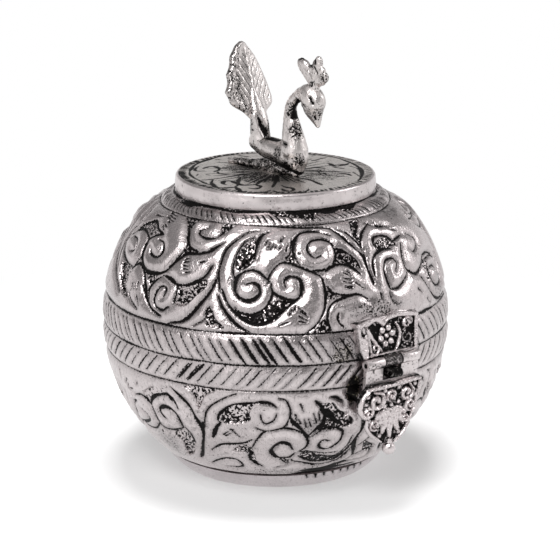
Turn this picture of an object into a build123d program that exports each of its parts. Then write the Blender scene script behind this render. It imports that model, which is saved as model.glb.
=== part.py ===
"""Paan box: a globe of two beaten sheet shells, hinged at the back and closed by a hasp at the front,
with a peacock finial on the lid. Millimetres, +Z up, the clasp faces -Y.
The origin is the centre of the foot's bottom face."""

import os
from math import asin, cos, degrees, radians, sin, sqrt, tan

from build123d import *

# ---- globe ----
body_radius = 55.0  # outside radius of the globe, whose centre lies on the seam plane
wall = 1.2  # sheet thickness of both shells
seam_height = 47.2  # table to seam
seam_gap = 0.1  # free space between the two rims

# ---- foot ----
foot_height = 5.2
foot_wall = 1.6
foot_bottom_radius = 31.2
foot_bulge = 0.7  # how far the band stands out between its two edges

# ---- locating sleeve inside the rim ----
sleeve_depth = 2.6  # below the seam
sleeve_rise = 3.0  # above the seam
sleeve_wall = 0.9
sleeve_clearance = 0.3  # to the lid's wall

# ---- shoulder of the lid and its top ----
shoulder_start = 36.0  # degrees above the seam where the globe turns into the shoulder
shoulder_end = 58.0  # degrees above the seam where the shoulder runs straight
shoulder_radius = 16.0
lid_mouth_radius = 29.0
collar_radius = 31.7
collar_height = 5.0
cap_wall = 1.1
cap_edge_radius = 0.9

# ---- volutes and leaves beaten up out of the shells ----
# a form is its azimuth in degrees from the clasp, its run along the wall from the seam and its radius
relief_repeats = 6
relief_height = 0.55
relief_root = 0.9  # depth of a form's root in the sheet
lid_forms = [
    (-46.0, 24.2, 5.0),
    (-34.0, 23.4, 4.4),
    (-20.0, 33.6, 4.6),
    (-37.0, 35.0, 4.8),
    (-30.0, 14.0, 4.3),
    (-11.5, 25.2, 4.4),
    (-14.0, 16.6, 4.2),
    (-24.3, 20.4, 3.6),
    (-57.0, 30.4, 3.6),
    (-5.4, 36.0, 3.6),
]
bowl_forms = [
    (-61.0, -17.6, 3.8),
    (-50.5, -24.0, 4.3),
    (-40.5, -16.8, 4.5),
    (-27.0, -18.2, 4.9),
    (-34.0, -30.0, 5.0),
    (-18.0, -28.6, 4.6),
    (-58.0, -34.4, 4.5),
    (-8.0, -21.0, 4.4),
    (-41.5, -38.4, 3.8),
    (-70.5, -28.0, 3.8),
]
bedding_margin = 0.6  # the wall stays plain this far round what is bedded on it

# ---- back hinge ----
hinge_pin_radius = 0.8
hinge_knuckle_radius = 1.7
hinge_width = 18.0
hinge_centre_knuckle = 8.0
hinge_leaf_height = 10.0
hinge_leaf_thickness = 0.9
hinge_stand_off = 0.35  # knuckle to globe
running_clearance = 0.05  # pin in a bore that turns
knuckle_gap = 0.3  # between knuckles, and round them

# ---- rivets ----
rivet_shank_radius = 0.8
rivet_head_radius = 1.5
rivet_head_height = 0.7
rivet_tail_radius = 1.4
rivet_tail_height = 0.5
hinge_rivet_spread = 12.0
hinge_rivet_height = 6.6  # from the seam

# ---- clasp plate on the lid ----
plate_thickness = 1.5
plate_bottom_width = 21.5
plate_top_width = 23.7
plate_height = 11.3
plate_lobe = 0.9  # how far the two top lobes rise above the corners
plate_notch = 1.0  # how far the notch between them drops below the corners
plate_bottom_lift = 0.5  # plate's lower edge above the seam
plate_rivet_spread = 17.6
plate_rivet_drop = 2.4  # from the plate's top corners
plate_rivet_head_radius = 1.1
plate_rivet_sink = 0.5  # the rivet heads lie this deep in their holes

# ---- hasp ----
hasp_pin_radius = 0.7
hasp_knuckle_radius = 1.7
hasp_pin_drop = 1.0  # pin below the seam
hasp_stand_off = 0.6  # knuckle to globe
hasp_lean = 5.0  # degrees that the closed hasp hangs in from upright, about its pin
hasp_width = 20.4
hasp_slot_width = 7.0
hasp_slot_bottom = 6.6  # below the seam
hasp_thickness = 1.4
hasp_tongue_width = 15.0
hasp_tongue_end = 20.0  # below the seam

# ---- shield on the hasp ----
shield_top = 7.4  # below the seam
shield_top_width = 22.0
shield_width = 25.6
shield_widest = 13.0  # below the seam
shield_tip = 27.2  # below the seam
shield_tip_width = 4.6
shield_thickness = 2.0
knob_radius = 2.1
knob_neck_radius = 1.0
knob_drop = 1.9  # knob's centre below the shield's tip

# ---- staple on the bowl ----
staple_width = 4.4
staple_radius = 1.4
staple_eye_radius = 0.75
staple_drop = 4.6  # eye below the seam
staple_reach = 3.9  # eye in front of the globe
clinch_margin = 0.7  # the clinched tail is this much larger all round
clinch_thickness = 0.75
clinch_gap = 0.05

# ---- finial fixings ----
stud_radius = 1.8
stud_length_below = 5.2
stud_length_above = 6.0
nut_across_flats = 6.4
nut_height = 2.4
washer_radius = 4.5
washer_thickness = 0.8

# ---- peacock: forward is -Y before the turn, heights are above the lid's top face ----
# a station is its distance back from the stud, its height and its radius
finial_turn = 6.5  # degrees that the finial is set round from the clasp's line
perch_stations = [(-8.2, 1.0, 1.6), (-3.0, 1.2, 2.2), (7.5, 1.0, 1.7), (21.0, 0.5, 1.2)]
body_stations = [(7.0, 7.7, 3.3), (0.5, 7.3, 3.8), (-8.9, 5.8, 4.6), (-10.9, 4.2, 3.1)]
neck_stations = [  # with the direction of travel, in degrees above forward, as the fourth value
    (-8.7, 6.5, 4.3, 92.0),
    (-8.1, 11.0, 4.1, 96.0),
    (-7.3, 15.5, 3.1, 95.0),
    (-6.8, 20.8, 2.0, 86.0),
    (-9.6, 24.9, 1.7, 50.0),
    (-12.7, 26.9, 2.1, 18.0),
    (-16.2, 26.1, 3.5, -38.0),
    (-17.6, 22.6, 2.7, -72.0),
    (-18.3, 19.2, 1.3, -80.0),
    (-18.6, 17.4, 0.6, -82.0),
]
crest_root = (-16.4, 28.6)
crest_lobes = [(49.0, 10.4, 2.0), (97.0, 9.2, 1.6), (150.0, 6.4, 1.6)]  # degrees above back, length, radius
tail_root = (7.6, 9.4, 3.0)
tail_waist = (7.4, 15.4, 2.6)
tail_lean = 19.0  # degrees back from upright
tail_sweep = 16.0  # degrees that each half is swept back
tail_half_width = 9.6
tail_length = 25.4
tail_thickness = 1.6

# ---- places worked out from the sizes above ----
inner_radius = body_radius - wall
centre = Location((0, 0, seam_height))
foot_top_radius = sqrt(body_radius**2 - (seam_height - foot_height) ** 2)
hinge_y = body_radius + hinge_stand_off + hinge_knuckle_radius
hasp_y = -(body_radius + hasp_stand_off + hasp_knuckle_radius)
hasp_z = seam_height - hasp_pin_drop
staple_y = -(body_radius + staple_reach)
staple_z = seam_height - staple_drop
plate_tilt = degrees(asin((plate_bottom_lift + plate_height / 2) / body_radius))


def shoulder_end_point(offset=0.0):
    """Radius and height of the shoulder arc's end, on a surface lying offset inside the outer one."""
    hub = body_radius - shoulder_radius
    reach = shoulder_radius - offset
    radius = hub * cos(radians(shoulder_start)) + reach * cos(radians(shoulder_end))
    height = hub * sin(radians(shoulder_start)) + reach * sin(radians(shoulder_end))
    return radius, seam_height + height


def cone_height(radius, offset=0.0):
    """Height of the shoulder's straight run at a radius."""
    end_radius, end_height = shoulder_end_point(offset)
    return end_height + (end_radius - radius) / tan(radians(shoulder_end))


top_height = cone_height(collar_radius) + collar_height


def on_sphere(radius, angle):
    """Point in the XZ half-plane at an angle in degrees above the seam."""
    return (radius * cos(radians(angle)), 0, seam_height + radius * sin(radians(angle)))


def turned(*edges):
    """Solid of revolution about Z from a closed outline in the XZ half-plane."""
    return revolve(make_face(Wire(list(edges))), Axis.Z, 360)


def rod_x(radius, x0, x1, y, z):
    """Round rod along X."""
    return Pos((x0 + x1) / 2, y, z) * Rot(0, 90, 0) * Cylinder(radius, x1 - x0)


def block(x0, x1, y0, y1, z0, z1):
    """Box between two corners."""
    return Pos((x0 + x1) / 2, (y0 + y1) / 2, (z0 + z1) / 2) * Box(x1 - x0, y1 - y0, z1 - z0)


def both_sides(shape):
    """A shape and its mirror image across X = 0, as one list."""
    return [shape, mirror(shape, Plane.YZ)]


def fused(*shapes):
    """One solid from several that overlap."""
    return shapes[0].fuse(*shapes[1:]).clean()


# ---- raised work ----
def wall_point(run):
    """Radius, height above the seam and slope of the outer wall, at a run along it from the seam."""
    start, hub = radians(shoulder_start), body_radius - shoulder_radius
    if run <= body_radius * start:
        slope = run / body_radius
        return body_radius * cos(slope), body_radius * sin(slope), slope
    slope = start + (run - body_radius * start) / shoulder_radius
    radius = hub * cos(start) + shoulder_radius * cos(slope)
    return radius, hub * sin(start) + shoulder_radius * sin(slope), slope


def raised_form(azimuth, run, radius):
    """Low dome of the given radius on the wall, with a flat root bedded in the sheet."""
    out, up, slope = wall_point(run)
    on_shoulder = run + radius > body_radius * radians(shoulder_start)
    bend = shoulder_radius if on_shoulder else body_radius
    ball_radius = 1 / (2 * relief_height / radius**2 + 1 / bend)
    sink = ball_radius - relief_height
    turn = radians(azimuth)
    normal = Vector(sin(turn) * cos(slope), -cos(turn) * cos(slope), sin(slope))
    foot = Vector(out * sin(turn), -out * cos(turn), seam_height + up)
    root = degrees(asin((sink - relief_root) / ball_radius))
    return Plane(origin=foot - normal * sink, z_dir=normal) * Sphere(ball_radius, root, 90, align=None)


def raised_work(forms):
    """Every repeat of the forms, but those that would touch the clasp plate or the hinge."""
    plate_side = plate_top_width / 2 + bedding_margin
    plate_top = seam_height + plate_height + plate_lobe + bedding_margin
    hinge_side = hinge_width / 2 + bedding_margin
    hinge_reach = hinge_leaf_height + bedding_margin
    far = 2 * body_radius
    beds = [
        block(-plate_side, plate_side, -far, 0, seam_height, plate_top),
        block(-hinge_side, hinge_side, 0, far, seam_height - hinge_reach, seam_height + hinge_reach),
    ]
    step = 360 / relief_repeats
    domes = [
        raised_form(azimuth + step * repeat, run, radius)
        for azimuth, run, radius in forms
        for repeat in range(relief_repeats)
    ]
    return [dome for dome in domes if min(dome.distance_to(bed) for bed in beds) > 0]


# ---- shells ----
def bowl_arc(radius, floor):
    """Arc of the bowl's profile from the rim down to a floor height."""
    low = -degrees(asin((seam_height - floor) / radius))
    return ThreePointArc(on_sphere(radius, 0), on_sphere(radius, low / 2), on_sphere(radius, low))


def make_bowl_shell():
    outer = bowl_arc(body_radius, foot_height)
    inner = bowl_arc(inner_radius, foot_height + wall)
    shell = turned(
        outer,
        Line(outer @ 1, (0, 0, foot_height)),
        Line((0, 0, foot_height), (0, 0, foot_height + wall)),
        Line((0, 0, foot_height + wall), inner @ 1),
        inner,
        Line(inner @ 0, outer @ 0),
    )
    shell = shell.fuse(*raised_work(bowl_forms))
    return shell - staple_shank() - Compound(hinge_rivets(-1))


def make_foot_ring():
    top = (foot_top_radius, 0, foot_height)
    bottom = (foot_bottom_radius, 0, 0)
    middle = ((foot_top_radius + foot_bottom_radius) / 2 + foot_bulge, 0, foot_height / 2)
    inside_top = (foot_top_radius - foot_wall, 0, foot_height)
    inside_bottom = (foot_bottom_radius - foot_wall, 0, 0)
    inside_middle = (middle[0] - foot_wall, 0, foot_height / 2)
    return turned(
        ThreePointArc(top, middle, bottom),
        Line(bottom, inside_bottom),
        ThreePointArc(inside_bottom, inside_middle, inside_top),
        Line(inside_top, top),
    )


def make_rim_sleeve():
    low = -degrees(asin(sleeve_depth / inner_radius))
    high = -degrees(asin(sleeve_clearance / inner_radius))
    bedded = ThreePointArc(*[on_sphere(inner_radius, angle) for angle in (low, (low + high) / 2, high)])
    outer = sqrt(inner_radius**2 - sleeve_rise**2) - sleeve_clearance
    inner = outer - sleeve_wall
    step_height = (bedded @ 1).Z
    corners = [
        bedded @ 1,
        (outer, 0, step_height),
        (outer, 0, seam_height + sleeve_rise),
        (inner, 0, seam_height + sleeve_rise),
        (inner, 0, seam_height - sleeve_depth),
        bedded @ 0,
    ]
    return turned(bedded, *[Line(a, b) for a, b in zip(corners, corners[1:])])


def lid_arcs(offset):
    """The lid's profile, from rim to shoulder, on a surface lying offset inside the outer one."""
    radius = body_radius - offset
    rim = degrees(asin(seam_gap / radius))
    angles = (rim, (rim + shoulder_start) / 2, shoulder_start)
    globe = ThreePointArc(*[on_sphere(radius, angle) for angle in angles])
    hub = body_radius - shoulder_radius
    hub_x, hub_z = hub * cos(radians(shoulder_start)), hub * sin(radians(shoulder_start))
    middle = radians((shoulder_start + shoulder_end) / 2)
    reach = shoulder_radius - offset
    end_radius, end_height = shoulder_end_point(offset)
    shoulder = ThreePointArc(
        globe @ 1,
        (hub_x + reach * cos(middle), 0, seam_height + hub_z + reach * sin(middle)),
        (end_radius, 0, end_height),
    )
    cone = Line(shoulder @ 1, (lid_mouth_radius, 0, cone_height(lid_mouth_radius, offset)))
    return globe, shoulder, cone


def make_lid_dome():
    outer, inner = lid_arcs(0.0), lid_arcs(wall)
    shell = turned(*outer, Line(outer[2] @ 1, inner[2] @ 1), *inner, Line(inner[0] @ 0, outer[0] @ 0))
    shell = shell.fuse(*raised_work(lid_forms))
    return shell - Compound(hinge_rivets(1)) - Compound(plate_rivets())


def make_top_cap():
    inside = collar_radius - cap_wall
    corners = [
        (stud_radius, 0, top_height - cap_wall),
        (inside, 0, top_height - cap_wall),
        (inside, 0, cone_height(inside)),
        (collar_radius, 0, cone_height(collar_radius)),
        (collar_radius, 0, top_height),
        (stud_radius, 0, top_height),
    ]
    cap = turned(*[Line(a, b) for a, b in zip(corners, corners[1:] + corners[:1])])
    rim = cap.edges().filter_by(GeomType.CIRCLE).group_by(Axis.Z)[-1].sort_by(SortBy.RADIUS)[-1]
    return fillet(rim, min(cap_edge_radius, 0.8 * cap_wall))


# ---- rivets ----
def rivet(start, head_at, tail_at):
    """Rivet pointing away from the globe's centre, with its head at one distance and its tail at another."""
    axis = Plane(origin=(0, 0, seam_height), z_dir=start)
    shank = Pos(0, 0, (head_at + tail_at) / 2) * Cylinder(rivet_shank_radius, head_at - tail_at)
    head = Pos(0, 0, head_at + rivet_head_height / 2) * Cone(
        rivet_head_radius, 0.6 * rivet_head_radius, rivet_head_height
    )
    tail = Pos(0, 0, tail_at - rivet_tail_height / 2) * Cylinder(rivet_tail_radius, rivet_tail_height)
    return axis * fused(shank, head, tail)


def tail_distance():
    """Distance from the globe's centre where a flat rivet tail clears the curved wall."""
    return sqrt(inner_radius**2 - rivet_tail_radius**2) - 0.01


def hinge_rivets(side):
    """The two rivets of one hinge leaf, above the seam for side 1 and below it for side -1."""
    x = hinge_rivet_spread / 2
    rise = side * hinge_rivet_height
    y = sqrt(body_radius**2 - x**2 - rise**2)
    head_at = body_radius + hinge_leaf_thickness
    return both_sides(rivet((x, y, rise), head_at, tail_distance()))


def plate_rivet_places():
    """Where the clasp plate's rivets stand, as x and the height above the plate's lower edge."""
    return plate_rivet_spread / 2, plate_height - plate_rivet_drop


def plate_plane():
    """Plane of the clasp plate's back face, its origin at the middle of the plate's lower edge."""
    tilt = radians(plate_tilt)
    half = plate_height / 2
    y = -body_radius * cos(tilt) - half * sin(tilt)
    z = seam_height + body_radius * sin(tilt) - half * cos(tilt)
    return Plane(origin=(0, y, z), x_dir=(1, 0, 0), z_dir=(0, -cos(tilt), sin(tilt)))


def plate_rivets():
    """The two rivets of the clasp plate, square to the plate, with their heads sunk in it."""
    x, up = plate_rivet_places()
    head_top = plate_thickness - plate_rivet_sink
    lean = sqrt(body_radius**2 - x**2) - body_radius  # how far the globe falls away behind the plate at x
    tail_top = lean - wall - 2 * rivet_tail_height
    head = Pos(0, 0, head_top - rivet_head_height / 2) * Cylinder(plate_rivet_head_radius, rivet_head_height)
    shank = Pos(0, 0, (head_top + tail_top) / 2) * Cylinder(rivet_shank_radius, head_top - tail_top)
    tail = Pos(0, 0, tail_top - rivet_tail_height / 2) * Cylinder(rivet_tail_radius, rivet_tail_height)
    return both_sides(plate_plane() * (Pos(x, up, 0) * fused(head, shank, tail)))


# ---- back hinge ----
def hinge_knuckles(side):
    """Spans along X of the knuckles of the leaf on one side of the seam."""
    half, middle = hinge_width / 2, hinge_centre_knuckle / 2
    if side > 0:
        return [(-middle, middle)]
    return [(-half, -middle - knuckle_gap), (middle + knuckle_gap, half)]


def make_hinge_leaf(side):
    """Leaf bedded on the globe above (1) or below (-1) the seam, with its knuckles round the pin."""
    half = hinge_width / 2
    skin = centre * (Sphere(body_radius + hinge_leaf_thickness) - Sphere(body_radius))
    near = seam_height + side * knuckle_gap
    far = seam_height + side * hinge_leaf_height
    leaf = skin & block(-half, half, 0, hinge_y + hinge_knuckle_radius, min(near, far), max(near, far))
    around = hinge_knuckle_radius + knuckle_gap
    for x0, x1 in hinge_knuckles(-side):
        leaf -= rod_x(around, x0 - knuckle_gap, x1 + knuckle_gap, hinge_y, seam_height)
    knuckles = [rod_x(hinge_knuckle_radius, x0, x1, hinge_y, seam_height) for x0, x1 in hinge_knuckles(side)]
    bore = hinge_pin_radius + (running_clearance if side > 0 else 0.0)
    joined = fused(leaf, *knuckles) - rod_x(bore, -half, half, hinge_y, seam_height)
    return joined - Compound(hinge_rivets(side))


def make_hinge_pin():
    half = hinge_width / 2
    return rod_x(hinge_pin_radius, -half, half, hinge_y, seam_height)


# ---- clasp ----
def make_clasp_plate():
    low, high = plate_bottom_width / 2, plate_top_width / 2
    crown, notch = plate_height + plate_lobe, plate_height - plate_notch
    lobe = ThreePointArc((0, notch), (0.42 * high, crown), (high, plate_height))
    flank = Line((low, 0), (high, plate_height))
    right = Wire([Line((0, 0), (low, 0)), flank, lobe, Line((0, notch), (0, 0))])
    half = extrude(plate_plane() * make_face(right), plate_thickness)
    plate = half.fuse(mirror(half, Plane.YZ)).clean()
    x = hasp_slot_width / 2 - knuckle_gap
    for side in (-1, 1):
        span = sorted((side * x, side * hasp_width / 2 + side * knuckle_gap))
        plate -= rod_x(hasp_knuckle_radius + knuckle_gap, *span, hasp_y, hasp_z)
    web = block(-x, x, hasp_y, hasp_y + plate_thickness, hasp_z, seam_height + 2 * plate_bottom_lift)
    plate = fused(plate, web, rod_x(hasp_knuckle_radius, -x, x, hasp_y, hasp_z))
    plate -= rod_x(hasp_pin_radius, -hasp_width, hasp_width, hasp_y, hasp_z)
    rivet_x, up = plate_rivet_places()
    hole = plate_plane() * (Pos(rivet_x, up, 0) * Cylinder(plate_rivet_head_radius, 4 * plate_thickness))
    return plate - hole - mirror(hole, Plane.YZ)


def make_hasp_pin():
    return rod_x(hasp_pin_radius, -hasp_width / 2, hasp_width / 2, hasp_y, hasp_z)


def hanging(shape):
    """A hasp part drawn upright under its pin, swung in to where the closed hasp hangs."""
    return Pos(0, hasp_y, hasp_z) * Rot(hasp_lean, 0, 0) * Pos(0, -hasp_y, -hasp_z) * shape


def make_hasp_strap():
    """Sheet flap: two arms with knuckles, the staple's slot between them and a tongue behind the shield."""
    half, slot = hasp_width / 2, hasp_slot_width / 2
    back, front = hasp_y + hasp_thickness / 2, hasp_y - hasp_thickness / 2
    tongue = hasp_tongue_width / 2
    body = block(-half, half, front, back, seam_height - shield_widest, hasp_z)
    lower = block(-tongue, tongue, front, back, seam_height - hasp_tongue_end, seam_height - shield_widest)
    window = block(-slot, slot, 2 * front, back + wall, seam_height - hasp_slot_bottom, seam_height + wall)
    knuckles = both_sides(rod_x(hasp_knuckle_radius, slot, half, hasp_y, hasp_z))
    strap = fused(body, lower, *knuckles) - window
    return hanging(strap - rod_x(hasp_pin_radius + running_clearance, -half, half, hasp_y, hasp_z))


def shield_outline():
    """Right half of the shield's outline in the XZ plane, from the top centre to the tip."""
    top, widest, tip = (seam_height - d for d in (shield_top, shield_widest, shield_tip))
    shoulder = (shield_top_width / 2, 0, top)
    side = (shield_width / 2, 0, widest)
    end = (shield_tip_width / 2, 0, tip)
    flank = (0.68 * side[0] + 0.32 * end[0], 0, 0.45 * widest + 0.55 * tip)
    upper = (0.5 * (shoulder[0] + side[0]) + 0.4, 0, (top + widest) / 2)
    return [
        Line((0, 0, top), shoulder),
        ThreePointArc(shoulder, upper, side),
        ThreePointArc(side, flank, end),
        Line(end, (0, 0, tip)),
        Line((0, 0, tip), (0, 0, top)),
    ]


def make_hasp_shield():
    front = hasp_y - hasp_thickness / 2
    half = Pos(0, front, 0) * extrude(make_face(Wire(shield_outline())), shield_thickness, dir=(0, -1, 0))
    return hanging(half.fuse(mirror(half, Plane.YZ)).clean())


def make_hasp_knob():
    y = hasp_y - hasp_thickness / 2 - shield_thickness / 2
    tip = seam_height - shield_tip
    neck = Pos(0, y, tip - knob_drop / 2) * Cylinder(min(knob_neck_radius, shield_thickness / 2), knob_drop)
    reach = 2 * knob_radius
    shield_side = block(-reach, reach, y - reach, y + reach, tip, tip + reach)
    return hanging(fused(Pos(0, y, tip - knob_drop) * Sphere(knob_radius), neck) - shield_side)


def staple_shank():
    """The staple's square shank, from the clinched tail to the eye."""
    half = staple_width / 2
    return block(-half, half, staple_y, clinch_y(), staple_z - staple_radius, staple_z + staple_radius)


def clinch_y():
    """Y of the clinched tail's outer face, just inside the bowl's curved wall."""
    x = staple_width / 2 + clinch_margin
    z = staple_drop + staple_radius + clinch_margin
    return -(sqrt(inner_radius**2 - x**2 - z**2) - clinch_gap)


def make_staple():
    half = staple_width / 2
    eye = rod_x(staple_eye_radius, -half, half, staple_y, staple_z)
    nose = rod_x(staple_radius, -half, half, staple_y, staple_z)
    reach, rise = half + clinch_margin, staple_radius + clinch_margin
    top = min(staple_z + rise, seam_height - sleeve_depth - clinch_gap)
    tail = block(-reach, reach, clinch_y(), clinch_y() + clinch_thickness, staple_z - rise, top)
    return fused(staple_shank(), nose, tail) - eye


# ---- finial fixings ----
def make_finial_stud():
    low, high = top_height - stud_length_below, top_height + stud_length_above
    return Pos(0, 0, (low + high) / 2) * Cylinder(stud_radius, high - low)


def make_finial_washer():
    disc = Cylinder(washer_radius, washer_thickness) - Cylinder(stud_radius, washer_thickness)
    return Pos(0, 0, top_height - cap_wall - washer_thickness / 2) * disc


def make_finial_nut():
    z = top_height - cap_wall - washer_thickness - nut_height
    hexagon = RegularPolygon(nut_across_flats / 2, 6, major_radius=False)
    return Pos(0, 0, z) * extrude(hexagon - Circle(stud_radius), nut_height)


def stud_hole(shape):
    """A shape with the stud's bore cut into it."""
    return shape - make_finial_stud()


# ---- peacock ----
def bird_point(station):
    """Place of a peacock station, given as distance back from the stud and height above the top face."""
    return (0, station[0], top_height + station[1])


def ball(station):
    return Pos(*bird_point(station)) * Sphere(station[2])


def tapered(a, b):
    """Round frustum joining two stations' balls."""
    start, end = Vector(*bird_point(a)), Vector(*bird_point(b))
    run = end - start
    return Plane(origin=start + run / 2, z_dir=run) * Cone(a[2], b[2], run.length)


def chain(stations):
    """Balls joined by round tapers, cut off flat at the lid's top face."""
    pieces = [ball(s) for s in stations] + [tapered(a, b) for a, b in zip(stations, stations[1:])]
    below = block(-body_radius, body_radius, -body_radius, body_radius, seam_height, top_height)
    return fused(*pieces) - below


def make_peacock_perch():
    return stud_hole(chain(perch_stations))


def make_peacock_body():
    """Body, neck and head in one casting."""
    rings = []
    for *place, radius, travel in neck_stations:
        heading = (0, -cos(radians(travel)), sin(radians(travel)))
        across = Plane(origin=bird_point(place), x_dir=(1, 0, 0), z_dir=heading)
        rings.append(across * Circle(radius))
    return stud_hole(fused(chain(body_stations), loft(rings)) - make_peacock_perch())


def make_peacock_tail():
    """Fan of two swept halves on a stem that leaves the rump."""
    width, length = tail_half_width, tail_length
    profile = [(0.25, 0.0), (0.5, 0.13), (0.97, 0.3), (0.92, 0.5), (0.6, 0.78), (0.3, 0.94), (0.0, 1.0)]
    side = Spline(*[(across * width, 0, up * length) for across, up in profile])
    outline = Wire([Line((0, 0, 0), side @ 0), side, Line(side @ 1, (0, 0, 0))])
    half = Rot(0, 0, tail_sweep) * extrude(make_face(outline), tail_thickness / 2, both=True)
    midrib = Pos(0, 0, 0.45 * length) * Cylinder(0.6 * tail_thickness, 0.9 * length)
    fan = Pos(*bird_point(tail_waist)) * Rot(-tail_lean, 0, 0) * fused(*both_sides(half), midrib)
    return fused(tapered(tail_root, tail_waist), ball(tail_waist), fan) - make_peacock_body()


def make_peacock_crest():
    """Three leaf lobes fanned over the head from one root."""
    root = Vector(*bird_point(crest_root))
    lobes = [Pos(*root) * Sphere(crest_lobes[0][2])]
    for angle, length, radius in crest_lobes:
        way = Vector(0, cos(radians(angle)), sin(radians(angle)))
        run = length - radius
        lobes.append(Plane(origin=root + way * run / 2, z_dir=way) * Cone(0.5 * radius, 0.95 * radius, run))
        lobes.append(Pos(*(root + way * run)) * Sphere(radius))
    return fused(*lobes) - make_peacock_body()


def build():
    """Every sub-part by node name."""
    turn = Rot(0, 0, finial_turn)
    return {
        "bowl_shell": make_bowl_shell(),
        "foot_ring": make_foot_ring(),
        "rim_sleeve": make_rim_sleeve(),
        "staple": make_staple(),
        "hinge_leaf_bowl": make_hinge_leaf(-1),
        "hinge_rivets_bowl": Compound(hinge_rivets(-1)),
        "hinge_pin": make_hinge_pin(),
        "lid_dome": make_lid_dome(),
        "top_cap": make_top_cap(),
        "hinge_leaf_lid": make_hinge_leaf(1),
        "hinge_rivets_lid": Compound(hinge_rivets(1)),
        "clasp_plate": make_clasp_plate(),
        "clasp_rivets": Compound(plate_rivets()),
        "hasp_pin": make_hasp_pin(),
        "peacock_perch": turn * make_peacock_perch(),
        "peacock_body": turn * make_peacock_body(),
        "peacock_tail": turn * make_peacock_tail(),
        "peacock_crest": turn * make_peacock_crest(),
        "finial_stud": make_finial_stud(),
        "finial_washer": make_finial_washer(),
        "finial_nut": make_finial_nut(),
        "hasp_strap": make_hasp_strap(),
        "hasp_shield": make_hasp_shield(),
        "hasp_knob": make_hasp_knob(),
    }


os.makedirs("parts", exist_ok=True)
for node, shape in build().items():
    export_step(shape, f"parts/{node}.step")
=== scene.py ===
"""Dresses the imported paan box: chased and punched sheet shells, cast clasp and shield, a peacock finial.

Laid out as an add-on and run as a script. Shapes are worked out in millimetres and written in metres.
A place on the globe is given by its azimuth, in degrees from the clasp towards +X, and by its run, the
distance along the outer wall above the seam (negative on the bowl).
"""

import bpy
import numpy as np
from bpy.props import FloatProperty, FloatVectorProperty, PointerProperty
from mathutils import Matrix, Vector


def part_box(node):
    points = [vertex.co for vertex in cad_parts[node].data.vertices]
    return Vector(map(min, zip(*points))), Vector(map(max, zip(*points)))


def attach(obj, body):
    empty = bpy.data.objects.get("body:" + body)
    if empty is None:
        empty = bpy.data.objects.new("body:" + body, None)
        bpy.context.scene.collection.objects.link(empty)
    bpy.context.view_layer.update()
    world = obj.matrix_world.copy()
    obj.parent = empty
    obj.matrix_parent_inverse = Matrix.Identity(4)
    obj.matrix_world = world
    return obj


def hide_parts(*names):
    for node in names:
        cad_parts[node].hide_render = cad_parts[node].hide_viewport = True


bl_info = {
    "name": "Paan Box Looks",
    "version": (1, 0, 0),
    "blender": (4, 5, 0),
    "location": "View3D > Sidebar > Paan Box",
    "description": "Builds the chased shells, clasp, peacock and stage of a paan box round its CAD frame",
    "category": "Object",
}

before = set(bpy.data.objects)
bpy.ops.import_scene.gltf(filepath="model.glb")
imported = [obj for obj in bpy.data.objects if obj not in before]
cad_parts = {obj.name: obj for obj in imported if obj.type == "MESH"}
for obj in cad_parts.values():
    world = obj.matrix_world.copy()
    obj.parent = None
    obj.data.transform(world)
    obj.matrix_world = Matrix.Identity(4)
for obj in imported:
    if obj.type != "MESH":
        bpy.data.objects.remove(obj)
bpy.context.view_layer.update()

MM = 0.001
DEGREE = np.pi / 180

# ---- places taken from the frame, in millimetres ----
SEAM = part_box("bowl_shell")[1].z / MM
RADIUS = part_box("bowl_shell")[1].x / MM
FOOT_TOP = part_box("foot_ring")[1].z / MM
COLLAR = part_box("top_cap")[1].x / MM
CAP_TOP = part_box("top_cap")[1].z / MM
HASP_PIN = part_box("hasp_pin")
HASP_Y = (HASP_PIN[0].y + HASP_PIN[1].y) / 2 / MM
HASP_Z = (HASP_PIN[0].z + HASP_PIN[1].z) / 2 / MM
STUD_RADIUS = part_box("finial_stud")[1].x / MM

# ---- section of the shells, as the sheet is spun ----
WALL = 1.2
SEAM_GAP = 0.1
SHOULDER_START = 36 * DEGREE
SHOULDER_END = 58 * DEGREE
SHOULDER_RADIUS = 16.0
MOUTH_RADIUS = 29.0
GLOBE_RUN = RADIUS * SHOULDER_START
SHOULDER_RUN = GLOBE_RUN + SHOULDER_RADIUS * (SHOULDER_END - SHOULDER_START)

# ---- zones of the pattern, as runs above and below the seam ----
LID_BORDER = 9.4
LID_MIDDLE = 27.0
LID_RING = 44.8
BOWL_BORDER = -8.3
BOWL_MIDDLE = -25.0
BOWL_SKIRT = -41.5

# ---- widths of the chaser's cuts, as half widths ----
THICK = 0.45
MEDIUM = 0.30
FINE = 0.17


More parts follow.
